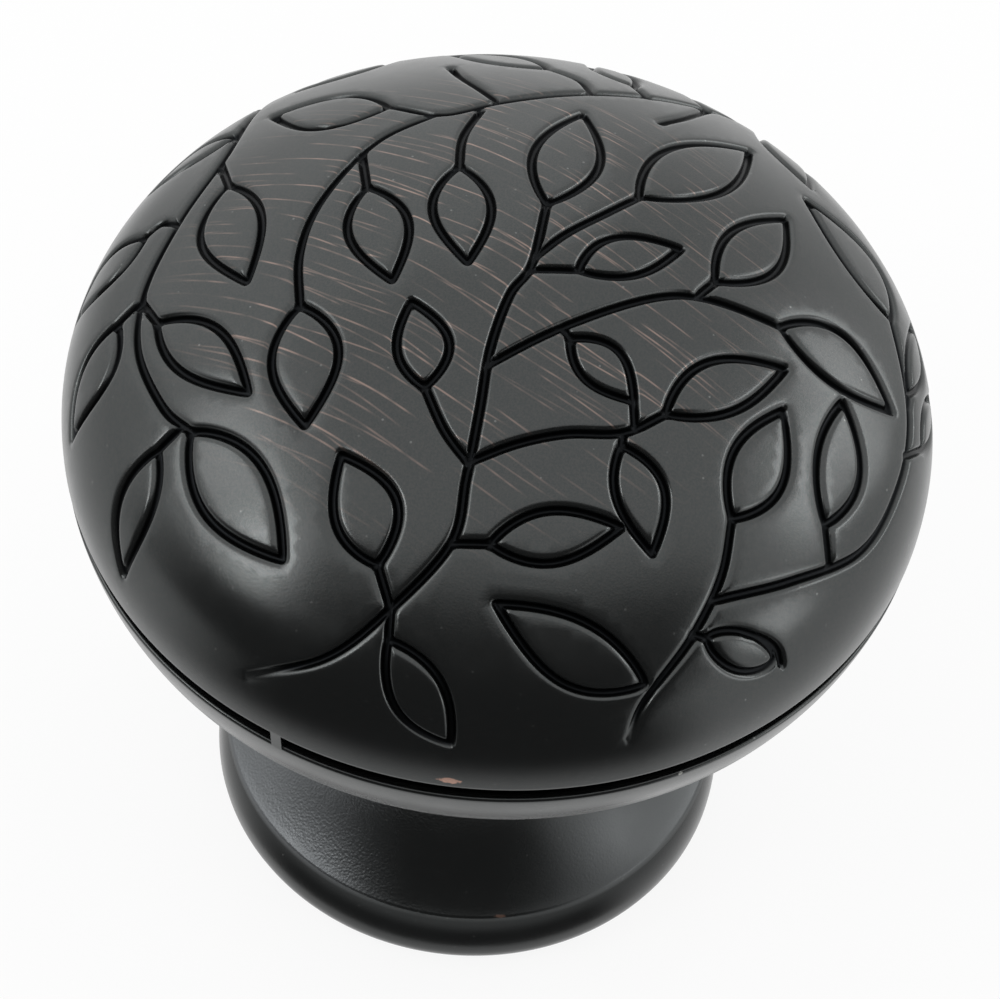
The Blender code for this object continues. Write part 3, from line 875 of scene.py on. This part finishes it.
class Bench:
    """Adds and links the nodes of one material or world."""

    def __init__(self, tree: bpy.types.NodeTree) -> None:
        """Take over an empty node tree."""
        self.tree = tree
        tree.nodes.clear()

    def add(self, kind: str, settings: dict | None = None, **sockets: object) -> bpy.types.Node:
        """Add a node.

        Args:
            kind: The node's type name.
            settings: Properties to set on the node.
            **sockets: A value or a socket to link for each named input, with _ for a space, or i0, i1 for
                the input at that place.

        Returns:
            The node.
        """
        node = self.tree.nodes.new(kind)
        for name, value in (settings or {}).items():
            setattr(node, name, value)
        for name, value in sockets.items():
            key = int(name[1:]) if name[1:].isdigit() else name.replace("_", " ")
            if isinstance(value, bpy.types.NodeSocket):
                self.tree.links.new(value, node.inputs[key])
            else:
                node.inputs[key].default_value = value
        return node

    def maths(self, operation: str, *values: object, clamp: bool = False) -> bpy.types.NodeSocket:
        """The result of one sum on numbers or sockets."""
        numbered = {f"i{number}": value for number, value in enumerate(values)}
        node = self.add("ShaderNodeMath", {"operation": operation, "use_clamp": clamp}, **numbered)
        return node.outputs[0]

    def times(self, first: object, *others: object) -> bpy.types.NodeSocket:
        """The product of numbers and sockets, multiplied in their order."""
        for other in others:
            first = self.maths("MULTIPLY", first, other)
        return first

    def distance(self, across: object, back: object) -> bpy.types.NodeSocket:
        """The distance that two parts square to each other make."""
        return self.maths("SQRT", self.maths("ADD", self.times(across, across), self.times(back, back)))

    def ramp(self, value: object, low: float, high: float) -> bpy.types.NodeSocket:
        """A value that goes smoothly from 0 at low to 1 at high."""
        node = self.add("ShaderNodeMapRange", {"interpolation_type": "SMOOTHSTEP"}, Value=value, From_Min=low,
                        From_Max=high, To_Min=0.0, To_Max=1.0)
        return node.outputs[0]

    def blend(self, share: object, first: object, second: object) -> bpy.types.NodeSocket:
        """A colour between two colours. The node takes them at its inputs 6 and 7."""
        node = self.add("ShaderNodeMix", {"data_type": "RGBA"}, i0=share, i6=first, i7=second)
        return node.outputs[2]

    def noise(self, place: object, kind: Noise) -> bpy.types.Node:
        """A noise pattern over the places given."""
        return self.add("ShaderNodeTexNoise", Vector=place, Scale=kind.scale, Detail=kind.detail,
                        Roughness=kind.strength)


@dataclass(frozen=True)
class Place:
    """Where a finish is asked for: the place in millimetres, whole and in parts, and how deeply it is cut."""

    whole: bpy.types.NodeSocket
    x: bpy.types.NodeSocket
    y: bpy.types.NodeSocket
    z: bpy.types.NodeSocket
    carving: bpy.types.NodeSocket

    @classmethod
    def read(cls, bench: Bench) -> "Place":
        """Read Object coordinates and the attribute "carving" on a material's bench."""
        carving = bench.add("ShaderNodeAttribute", {"attribute_name": "carving"}).outputs["Fac"]
        metres = bench.add("ShaderNodeTexCoord").outputs["Object"]
        scaled = bench.add("ShaderNodeVectorMath", {"operation": "SCALE"}, i0=metres, Scale=1.0 / MM)
        whole = scaled.outputs[0]
        parts = bench.add("ShaderNodeSeparateXYZ", Vector=whole).outputs
        return cls(whole, parts["X"], parts["Y"], parts["Z"], carving)


@dataclass(frozen=True)
class Mark:
    """A small bare spot in the finish: its middle and its half width and half height, in millimetres."""

    place: tuple[float, float, float]
    half_width: float
    half_height: float
    colour: Colour


@dataclass(frozen=True)
class Waver:
    """How scratches change along their length: the step from lane to lane, waves to a millimetre, detail."""

    lane_step: float
    rate: float
    detail: float


@dataclass(frozen=True)
class Scratches:
    """One family of fine, slightly bent scratches, each in its own lane. Lengths are in millimetres.

    Attributes:
        angle: The scratches' direction in degrees from +X towards +Y.
        bend: How much they turn away from it towards their two ends.
        gap: Width of a lane.
        width: Width of a scratch.
        seed: Number of the middle lane, from which the chances come.
        share: How much of a lane is scratched, of 1.
        lane_start: The first place of a scratch in its lane, of 1.
        lane_spread: Over how much of the lane its place is spread, of 1.
        edge: Where a scratch ends sideways and where it is full, as shares of its width.
        run: How it starts and stops.
        run_fade: How softly it does so, less and more than its share.
        press: How its strength changes.
        press_range: The pattern's values at which it is faintest and strongest.
        faintest: The least of its strength, of 1.
    """

    angle: float
    bend: float
    gap: float
    width: float
    seed: float
    share: float
    lane_start: float = 0.2
    lane_spread: float = 0.6
    edge: Span = (1.5, 0.3)
    run: Waver = Waver(13.7, 0.19, 0.0)
    run_fade: Span = (0.06, 0.10)
    press: Waver = Waver(7.3, 0.8, 1.0)
    press_range: Span = (0.3, 0.65)
    faintest: float = 0.3

    def strength(self, bench: Bench, across: object, up: object) -> bpy.types.NodeSocket:
        """How strong the family's scratches are.

        Args:
            bench: The material's bench.
            across: The place's x in millimetres.
            up: The place's y in millimetres.

        Returns:
            The strength there, from 0 to 1.
        """
        turn = math.radians(self.angle)
        along = bench.maths("ADD", bench.times(across, math.cos(turn)), bench.times(up, math.sin(turn)))
        beside = bench.maths("SUBTRACT", bench.times(up, math.cos(turn)), bench.times(across, math.sin(turn)))
        swerve = bench.times(along, bench.maths("ABSOLUTE", along))
        bent = bench.maths("MULTIPLY_ADD", swerve, self.bend, beside)
        lane = bench.maths("DIVIDE", bent, self.gap)
        number = bench.maths("ADD", bench.maths("FLOOR", lane), self.seed)
        chance = bench.add("ShaderNodeTexWhiteNoise", {"noise_dimensions": "1D"}, W=number)
        middle = bench.maths("MULTIPLY_ADD", chance.outputs["Value"], self.lane_spread, self.lane_start)
        off = bench.maths("ABSOLUTE", bench.maths("SUBTRACT", bench.maths("FRACT", lane), middle))
        line = bench.ramp(off, *(self.width / self.gap * edge for edge in self.edge))
        run = self.wavered(bench, number, along, self.run)
        present = bench.ramp(run, 1.0 - self.share - self.run_fade[0], 1.0 - self.share + self.run_fade[1])
        press = bench.ramp(self.wavered(bench, number, along, self.press), *self.press_range)
        force = bench.add("ShaderNodeSeparateColor", Color=chance.outputs["Color"]).outputs[1]
        weights = [bench.maths("MULTIPLY_ADD", value, 1.0 - self.faintest, self.faintest)
                   for value in (press, force)]
        return bench.times(bench.times(line, present), bench.times(*weights))

    @staticmethod
    def wavered(bench: Bench, number: object, along: object, kind: Waver) -> bpy.types.NodeSocket:
        """Noise along a lane.

        Args:
            bench: The material's bench.
            number: The lane's number.
            along: The place along the lane in millimetres.
            kind: The noise's kind.

        Returns:
            The noise there, from 0 to 1.
        """
        start = bench.maths("MULTIPLY_ADD", number, kind.lane_step, bench.times(along, kind.rate))
        node = bench.add("ShaderNodeTexNoise", {"noise_dimensions": "1D"}, W=start, Scale=1.0,
                         Detail=kind.detail)
        return node.outputs["Fac"]


BARE_COPPER = (0.50, 0.31, 0.245, 1.0)
RUBBED_COPPER = (0.31, 0.23, 0.20, 1.0)
BARE_SPECK = (0.42, 0.42, 0.40, 1.0)


@dataclass(frozen=True)
class RubbedBronze:
    """Satin near-black oil-rubbed bronze, with fine copper-coloured scratches on the crown, painted shade on
    the foot's band, and a painted highlight on the flare's sides, palest to the left.

    Each Span gives where a change starts and where it is complete. Those named for heights are heights over
    the seat and those named for depths are shares of the cut's full depth. Lengths are in millimetres, but
    the relief of grain and orange peel is in metres, as its node takes it.
    """

    name: str = "oil_rubbed_bronze"
    black: Colour = (0.0645, 0.0700, 0.0702, 1.0)
    warm_black: Colour = (0.0785, 0.0803, 0.0791, 1.0)
    # Painted shade: the foot's band is darkened for the shadowed floor that it reflects.
    foot_painted_shade: Colour = (0.0350, 0.0370, 0.0370, 1.0)
    # Painted highlight on the flare's sides: a paler black, and palest to the left, where the lamps'
    # highlights fall.
    flare_painted_sheen: Colour = (0.0900, 0.0945, 0.0960, 1.0)
    flare_painted_highlight: Colour = (0.1380, 0.1450, 0.1500, 1.0)
    groove_black: Colour = (0.010, 0.011, 0.012, 1.0)
    scratch_colour: Colour = RUBBED_COPPER
    speck_colour: Colour = (0.20, 0.205, 0.20, 1.0)
    metallic: float = 0.96

    # How rough it is, and how much the cloudy pattern changes that.
    roughness: float = 0.245
    groove_roughness: float = 0.42
    flare_roughness: float = 0.40
    cloud: Noise = Noise(0.9, 4.0)
    cloud_roughness: float = 0.08

    # The grain under the whole finish, and the orange peel on the flare.
    grain: Noise = Noise(11.0, 2.0, 0.6)
    grain_mix: Span = (0.32, 0.68)
    grain_relief: float = 0.16
    peel: Noise = Noise(8.5, 0.5)
    peel_heights: Span = (3.0, 4.4)
    peel_on_right: float = 0.2
    relief: float = 0.017 * MM

    # The foot's band with its painted shade, the flare over it with its painted highlight, and how the finish
    # changes in the cuts.
    foot_shade_heights: Span = (3.72, 3.45)
    flare_low_heights: Span = (3.4, 3.8)
    flare_high_heights: Span = (23.6, 22.4)
    flare_aside: Span = (1.5, 6.5)
    flare_leftward: Span = (3.0, -5.0)
    proud_depths: Span = (0.35, 0.08)
    black_depths: Span = (0.20, 0.62)
    rough_depths: Span = (0.3, 0.85)

    # The scratches, and the noise that makes them drift sideways.
    scratches: tuple[Scratches, ...] = (
        Scratches(-34.0, -0.010, 0.72, 0.041, 3.0, 0.51),
        Scratches(-38.0, -0.012, 1.05, 0.037, 17.0, 0.48),
        Scratches(-29.0, -0.008, 1.50, 0.036, 41.0, 0.49),
    )
    drift: Noise = Noise(0.17, 0.0)
    drift_width: float = 0.45
    scratched_middle: Spot = (-1.5, 0.5)
    scratched_reach: Span = (14.5, 8.5)
    scratched_heights: Span = (30.0, 32.0)

    # The specks' cells to a millimetre, their size, which cells have one, and how strong they are.
    speck_scale: float = 1.5
    speck_size: Span = (0.105, 0.045)
    speck_chance: Span = (0.35, 0.95)
    speck_strength: float = 0.7

    # The bare marks, and how ragged their edges are.
    marks: tuple[Mark, ...] = (
        Mark((-0.58, -18.98, 26.70), 0.44, 0.19, BARE_COPPER),
        Mark((2.30, -11.30, 3.76), 0.24, 0.06, BARE_COPPER),
        Mark((-7.71, -6.14, 5.32), 0.09, 0.09, BARE_SPECK),
        Mark((8.99, -16.55, 25.18), 0.10, 0.08, BARE_SPECK),
    )
    ragged: Noise = Noise(5.0, 2.0)
    raggedness: float = 1.3
    mark_edge: Span = (1.75, 1.45)

    def scratched(self, bench: Bench, place: Place) -> bpy.types.NodeSocket:
        """All the scratches, held to the crown.

        Args:
            bench: The material's bench.
            place: Where the finish is asked for.

        Returns:
            How strong the scratches are there, from 0 to 1.
        """
        drift = bench.noise(place.whole, self.drift).outputs["Color"]
        widths = (self.drift_width, self.drift_width, 0.0)
        swept = bench.add("ShaderNodeVectorMath", {"operation": "MULTIPLY_ADD"}, i0=drift, i1=widths,
                          i2=place.whole).outputs[0]
        bent = bench.add("ShaderNodeSeparateXYZ", Vector=swept).outputs
        found: object = 0.0
        for kind in self.scratches:
            found = bench.maths("MAXIMUM", found, kind.strength(bench, bent["X"], bent["Y"]))
        aside = bench.maths("SUBTRACT", place.x, self.scratched_middle[0])
        ahead = bench.maths("SUBTRACT", place.y, self.scratched_middle[1])
        crown = bench.ramp(bench.distance(aside, ahead), *self.scratched_reach)
        high = bench.ramp(place.z, *self.scratched_heights)
        return bench.times(found, bench.times(crown, high))

    def specks(self, bench: Bench, place: Place) -> bpy.types.NodeSocket:
        """Tiny pale specks, thinly scattered, 1 on a speck and 0 off it."""
        cells = bench.add("ShaderNodeTexVoronoi", Vector=place.whole, Scale=self.speck_scale)
        kept = bench.add("ShaderNodeSeparateColor", Color=cells.outputs["Color"])
        dot = bench.ramp(cells.outputs["Distance"], *self.speck_size)
        return bench.times(dot, bench.ramp(kept.outputs[0], *self.speck_chance))

    def marked(self, bench: Bench, place: Place, colour: object) -> object:
        """Lay the bare marks over a colour.

        Args:
            bench: The material's bench.
            place: Where the finish is asked for.
            colour: The colour without the marks.

        Returns:
            The colour with them.
        """
        ragged = bench.noise(place.whole, self.ragged).outputs["Fac"]
        for mark in self.marks:
            shares = (1.0 / mark.half_width, 1.0 / mark.half_width, 1.0 / mark.half_height)
            shift = tuple(-value * share for value, share in zip(mark.place, shares))
            offset = bench.add("ShaderNodeVectorMath", {"operation": "MULTIPLY_ADD"}, i0=place.whole,
                               i1=shares, i2=shift)
            length = bench.add("ShaderNodeVectorMath", {"operation": "LENGTH"}, i0=offset.outputs[0])
            rough_edge = bench.maths("MULTIPLY_ADD", ragged, self.raggedness, length.outputs["Value"])
            colour = bench.blend(bench.ramp(rough_edge, *self.mark_edge), colour, mark.colour)
        return colour

    def coloured(self, bench: Bench, place: Place, grain: object) -> object:
        """The colour of the cap and the foot, with its specks, cuts, scratches, marks and the foot's painted
        shade.

        Args:
            bench: The material's bench.
            place: Where the finish is asked for.
            grain: The grain there, from 0 to 1.

        Returns:
            The colour there.
        """
        colour = bench.blend(bench.ramp(grain, *self.grain_mix), self.black, self.warm_black)
        # Painted shade: the foot's band goes darker below the bead.
        colour = bench.blend(bench.ramp(place.z, *self.foot_shade_heights), colour, self.foot_painted_shade)
        proud = bench.ramp(place.carving, *self.proud_depths)
        speck = bench.times(self.specks(bench, place), bench.times(proud, self.speck_strength))
        colour = bench.blend(speck, colour, self.speck_colour)
        colour = bench.blend(bench.ramp(place.carving, *self.black_depths), colour, self.groove_black)
        scratched = bench.times(self.scratched(bench, place), proud)
        colour = bench.blend(scratched, colour, self.scratch_colour)
        return self.marked(bench, place, colour)

    def dulled(self, bench: Bench, place: Place, flare: object) -> bpy.types.NodeSocket:
        """How rough the finish is.

        Args:
            bench: The material's bench.
            place: Where the finish is asked for.
            flare: How much of the flare's finish is there, from 0 to 1.

        Returns:
            The roughness there.
        """
        cloud = bench.noise(place.whole, self.cloud).outputs["Fac"]
        rough = bench.maths("MULTIPLY_ADD", cloud, self.cloud_roughness,
                            self.roughness - 0.5 * self.cloud_roughness)
        rough = bench.maths("MULTIPLY_ADD", bench.ramp(place.carving, *self.rough_depths),
                            self.groove_roughness - self.roughness, rough)
        return bench.maths("MULTIPLY_ADD", flare, self.flare_roughness - self.roughness, rough)

    def peeled(self, bench: Bench, place: Place, grain: object, share: object) -> bpy.types.NodeSocket:
        """The fine relief of the grain and the orange peel.

        Args:
            bench: The material's bench.
            place: Where the finish is asked for.
            grain: The grain there, from 0 to 1.
            share: How much orange peel is there, from 0 to 1.

        Returns:
            The bumped normal.
        """
        peel = bench.noise(place.whole, self.peel).outputs["Fac"]
        height = bench.maths("MULTIPLY_ADD", peel, share, bench.times(grain, self.grain_relief))
        return bench.add("ShaderNodeBump", Height=height, Distance=self.relief, Strength=1.0).outputs[0]

    def dress(self) -> bpy.types.Material:
        """Make the material.

        Returns:
            The material, which reads Object coordinates and the attribute "carving".
        """
        material = bpy.data.materials.new(self.name)
        material.use_nodes = True
        bench = Bench(material.node_tree)
        place = Place.read(bench)
        grain = bench.noise(place.whole, self.grain).outputs["Fac"]
        below = bench.ramp(place.z, *self.flare_high_heights)
        aside = bench.ramp(bench.maths("ABSOLUTE", place.x), *self.flare_aside)
        above = bench.ramp(place.z, *self.flare_low_heights)
        flare = bench.times(below, bench.times(aside, above))
        leftward = bench.ramp(place.x, *self.flare_leftward)
        # Painted highlight: the flare's sides are paler than the cap, and palest to the left, where the
        # lamps' highlights fall on them.
        painted_flare_highlight = bench.blend(leftward, self.flare_painted_sheen, self.flare_painted_highlight)
        colour = bench.blend(flare, self.coloured(bench, place, grain), painted_flare_highlight)
        leftmost = bench.maths("MULTIPLY_ADD", leftward, 1.0 - self.peel_on_right, self.peel_on_right)
        share = bench.times(below, bench.ramp(place.z, *self.peel_heights), leftmost)
        shader = bench.add("ShaderNodeBsdfPrincipled", Metallic=self.metallic, Base_Color=colour,
                           Roughness=self.dulled(bench, place, flare),
                           Normal=self.peeled(bench, place, grain, share))
        bench.add("ShaderNodeOutputMaterial", Surface=shader.outputs[0])
        return material


# ---- The whole knob ----


@dataclass
class VineKnob:
    """The knob as one casting: the turned body and the carved cap, welded along the widest line."""

    body: TurnedBody = field(default_factory=TurnedBody)
    cap: CarvedCap = field(default_factory=CarvedCap)
    finish: RubbedBronze = field(default_factory=RubbedBronze)

    def build(self) -> bpy.types.Object:
        """Build and weld the two parts.

        Returns:
            The knob.
        """
        cap = self.cap.build()
        select_only(cap)
        bpy.ops.object.shade_smooth()
        knob = self.body.build()
        select_only(knob)
        cap.select_set(True)
        bpy.ops.object.join()
        knob.name = knob.data.name = "vine_knob"
        bpy.ops.object.mode_set(mode="EDIT")
        bpy.ops.mesh.select_all(action="SELECT")
        bpy.ops.mesh.remove_doubles(threshold=WELD)
        bpy.ops.mesh.normals_make_consistent(inside=False)
        bpy.ops.object.mode_set(mode="OBJECT")
        return knob

    def dress(self, knob: bpy.types.Object) -> None:
        """Give the knob its finish and let it stand for the solid."""
        knob.data.materials.clear()
        knob.data.materials.append(self.finish.dress())
        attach(knob, "root")
        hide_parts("knob")
        log.info("vine knob: %d points, %d faces", len(knob.data.vertices), len(knob.data.polygons))


# ---- The studio ----


def seen_white(bench: Bench) -> bpy.types.NodeSocket:
    """1 for the rays that see the surround itself, 0 for the rays that it lights by."""
    path = bench.add("ShaderNodeLightPath")
    total: object = 0.0
    for kind in RayKind:
        total = bench.maths("ADD", total, path.outputs[kind.value], clamp=True)
    return total


@dataclass(frozen=True)
class Lamp:
    """A soft square lamp that looks at the cap.

    Attributes:
        name: The lamp's name.
        bearing: Its bearing round the knob, in degrees from +X towards +Y.
        height: Its elevation over the cap, in degrees.
        distance: Its distance from the cap.
        size: Its width and height.
        radiance: How bright its face is, where 1 is white.
        aim_height: The height that it looks at.
    """

    name: str
    bearing: float
    height: float
    distance: float
    size: Spot
    radiance: float
    aim_height: float = 0.03

    def hang(self) -> None:
        """Hang the lamp in the scene."""
        data = bpy.data.lights.new(self.name, "AREA")
        data.shape = "RECTANGLE"
        data.size, data.size_y = self.size
        data.energy = self.radiance * math.pi * self.size[0] * self.size[1]
        lamp = bpy.data.objects.new(self.name, data)
        turn, lift = math.radians(self.bearing), math.radians(self.height)
        away = Vector((math.cos(turn) * math.cos(lift), math.sin(turn) * math.cos(lift), math.sin(lift)))
        lamp.matrix_world = (Matrix.Translation(away * self.distance + Vector((0.0, 0.0, self.aim_height)))
                             @ away.to_track_quat("Z", "Y").to_matrix().to_4x4())
        bpy.context.scene.collection.objects.link(lamp)


LAMPS = (
    Lamp("left_lamp", 191.0, 38.5, 0.55, (0.43, 0.18), 2.1),
    Lamp("left_spot", 206.0, 38.5, 0.50, (0.08, 0.06), 7.5),
    Lamp("right_near_lamp", -18.0, 13.0, 0.55, (0.12, 0.20), 2.3),
    Lamp("right_far_lamp", 30.0, 17.5, 0.55, (0.22, 0.19), 2.3),
    Lamp("right_spot", 10.0, 28.5, 0.50, (0.15, 0.07), 4.6),
    Lamp("back_lamp", 118.0, 28.0, 0.60, (0.85, 0.50), 0.28),
)


@dataclass(frozen=True)
class DarkCard:
    """The dark card in front of the knob, under and round the camera, seen only in the bronze.

    Its floor is a flat ring sector and its wall an arc of a ball, both turned round the knob's axis. Each
    Span gives where a fade starts and where it is complete: bearings from straight ahead, positive to the
    right, heights as angles seen from the seat's middle, and reaches from the axis. The right fade leans with
    height, the left fade shifts with reach, and the top droops towards both sides, each by its factor. Close
    round the foot its floor carries a painted shadow, the knob's shadow on the floor as the bronze reflects
    it.
    """

    near: float = 13.0 * MM
    far: float = 600.0 * MM
    lift: float = 0.5 * MM
    top: float = math.radians(64.0)
    sides: Span = (math.radians(-200.0), math.radians(-10.0))
    wall_steps: int = 12
    side_steps: int = 24
    grey: float = 0.03

    right_fade: Span = (math.radians(52.0), math.radians(34.0))
    right_lean: float = -0.6
    left_fade: Span = (math.radians(-74.0), math.radians(-40.0))
    left_shift: float = 0.38
    left_shift_reach: Span = (80.0 * MM, 450.0 * MM)
    top_fade: Span = (math.radians(60.5), math.radians(54.0))
    top_droop: float = 0.14
    # Painted shadow: close round the foot the card's floor stands for the knob's shadow on the floor, as the
    # bronze reflects it.
    painted_shadow_fade: Span = (19.5 * MM, 15.0 * MM)
    painted_shadow_strength: float = 0.85
    far_fade: Span = (18.0 * MM, 58.0 * MM)
    far_strength: float = 0.95

    def hang(self) -> None:
        """Turn the card and hang it, out of sight of the camera and of the floor."""
        lathe = Lathe("dark_card", (self.near, self.lift))
        lathe.straight_to((self.far, self.lift))
        lathe.arc_about((0.0, self.lift), self.top, self.wall_steps)
        card = lathe.turn(self.sides[1] - self.sides[0], self.side_steps)
        card.rotation_euler = (0.0, 0.0, self.sides[0])
        bpy.ops.object.transform_apply(location=True, rotation=True, scale=True)
        card.visible_camera = card.visible_diffuse = card.visible_shadow = False
        card.data.materials.append(self.dress())

    def dress(self) -> bpy.types.Material:
        """Make the card's dark grey, thin near the knob and fading out at its sides and top; its floor close
        round the foot holds a painted shadow of the knob.

        Returns:
            The card's material.
        """
        material = bpy.data.materials.new("card_grey")
        material.use_nodes = True
        bench = Bench(material.node_tree)
        place = bench.add("ShaderNodeSeparateXYZ", Vector=bench.add("ShaderNodeTexCoord").outputs["Object"])
        across, back, up = (place.outputs[axis] for axis in "XYZ")
        bearing = bench.maths("ARCTAN2", across, bench.times(back, -1.0))
        reach = bench.distance(across, back)
        height = bench.maths("ARCTAN2", up, reach)
        right = bench.ramp(bench.maths("MULTIPLY_ADD", height, self.right_lean, bearing), *self.right_fade)
        shift = bench.ramp(reach, *self.left_shift_reach)
        left = bench.ramp(bench.maths("MULTIPLY_ADD", shift, self.left_shift, bearing), *self.left_fade)
        drooped = bench.maths("MULTIPLY_ADD", bench.times(bearing, bearing), self.top_droop, height)
        shown = bench.times(left, right, bench.ramp(drooped, *self.top_fade))
        # The card's floor: a painted shadow of the knob close round the foot, and the dark floor in front
        # further out.
        laid = bench.maths("MAXIMUM", bench.times(bench.ramp(reach, *self.painted_shadow_fade), self.painted_shadow_strength),
                           bench.times(bench.ramp(reach, *self.far_fade), self.far_strength))
        glow = bench.add("ShaderNodeEmission", Color=(1.0, 1.0, 1.0, 1.0), Strength=self.grey)
        clear = bench.add("ShaderNodeBsdfTransparent")
        mix = bench.add("ShaderNodeMixShader", i0=bench.times(shown, laid), i1=clear.outputs[0],
                        i2=glow.outputs[0])
        bench.add("ShaderNodeOutputMaterial", Surface=mix.outputs[0])
        return material


@dataclass
class Studio:
    """A pale floor, a white surround, soft light and the camera at the photograph's angle."""

    camera_at: tuple[float, float, float] = (0.0, -116.666 * MM, 177.447 * MM)
    camera_aim: tuple[float, float, float] = (0.4275 * MM, 0.0, 20.816 * MM)
    camera_roll: float = math.radians(5.650)
    lens: float = 156.92
    sensor_width: float = 36.0
    nearest_seen: float = 5.0 * MM
    floor_size: float = 3.0
    floor_drop: float = 0.02 * MM
    floor_grey: float = 0.94
    floor_glow: float = 0.88
    surround_fill: float = 0.8
    card: DarkCard = field(default_factory=DarkCard)
    lamps: tuple[Lamp, ...] = LAMPS

    def place_camera(self) -> None:
        """Set up the camera and make it the scene's."""
        data = bpy.data.cameras.new("camera")
        data.lens = self.lens
        data.sensor_width = self.sensor_width
        data.clip_start = self.nearest_seen
        camera = bpy.data.objects.new("camera", data)
        view = Vector(self.camera_aim) - Vector(self.camera_at)
        turn = view.to_track_quat("-Z", "Y").to_matrix().to_4x4()
        camera.matrix_world = (Matrix.Translation(self.camera_at) @ turn
                               @ Matrix.Rotation(self.camera_roll, 4, "Z"))
        bpy.context.scene.collection.objects.link(camera)
        bpy.context.scene.camera = camera

    def lay_floor(self) -> None:
        """Lay the pale floor. It shows white, and keeps the knob's shadow."""
        bpy.ops.object.select_all(action="DESELECT")
        bpy.ops.mesh.primitive_plane_add(size=self.floor_size, location=(0.0, 0.0, -self.floor_drop))
        floor = bpy.context.object
        floor.name = "floor"
        bpy.ops.object.transform_apply(location=True, rotation=True, scale=True)
        material = bpy.data.materials.new("floor_white")
        material.use_nodes = True
        bench = Bench(material.node_tree)
        matt = bench.add("ShaderNodeBsdfDiffuse", Color=(self.floor_grey,) * 3 + (1.0,))
        glow = bench.add("ShaderNodeEmission", Color=(1.0, 1.0, 1.0, 1.0), Strength=1.0)
        share = bench.times(seen_white(bench), self.floor_glow)
        mix = bench.add("ShaderNodeMixShader", i0=share, i1=matt.outputs[0], i2=glow.outputs[0])
        bench.add("ShaderNodeOutputMaterial", Surface=mix.outputs[0])
        floor.data.materials.append(material)

    def light_surround(self) -> None:
        """Make the surround white where it is seen, and a soft fill where it lights."""
        world = bpy.data.worlds.new("white_surround")
        world.use_nodes = True
        bench = Bench(world.node_tree)
        fill = bench.add("ShaderNodeBackground", Color=(1.0, 1.0, 1.0, 1.0), Strength=self.surround_fill)
        white = bench.add("ShaderNodeBackground", Color=(1.0, 1.0, 1.0, 1.0), Strength=1.0)
        mix = bench.add("ShaderNodeMixShader", i0=seen_white(bench), i1=fill.outputs[0], i2=white.outputs[0])
        bench.add("ShaderNodeOutputWorld", Surface=mix.outputs[0])
        bpy.context.scene.world = world

    def build(self) -> None:
        """Set up the whole studio."""
        bpy.context.scene.view_settings.view_transform = "Standard"
        self.place_camera()
        self.lay_floor()
        self.light_surround()
        self.card.hang()
        for lamp in self.lamps:
            lamp.hang()
        log.info("studio: %d lamps", len(self.lamps))


def main() -> None:
    """Build the knob and the studio, and note the dressed knob's counts of points and faces."""
    logging.basicConfig(level=logging.INFO, format="%(name)s: %(message)s")
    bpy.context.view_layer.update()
    maker = VineKnob()
    knob = maker.build()
    maker.dress(knob)
    Studio().build()


if __name__ == "__main__":
    main()
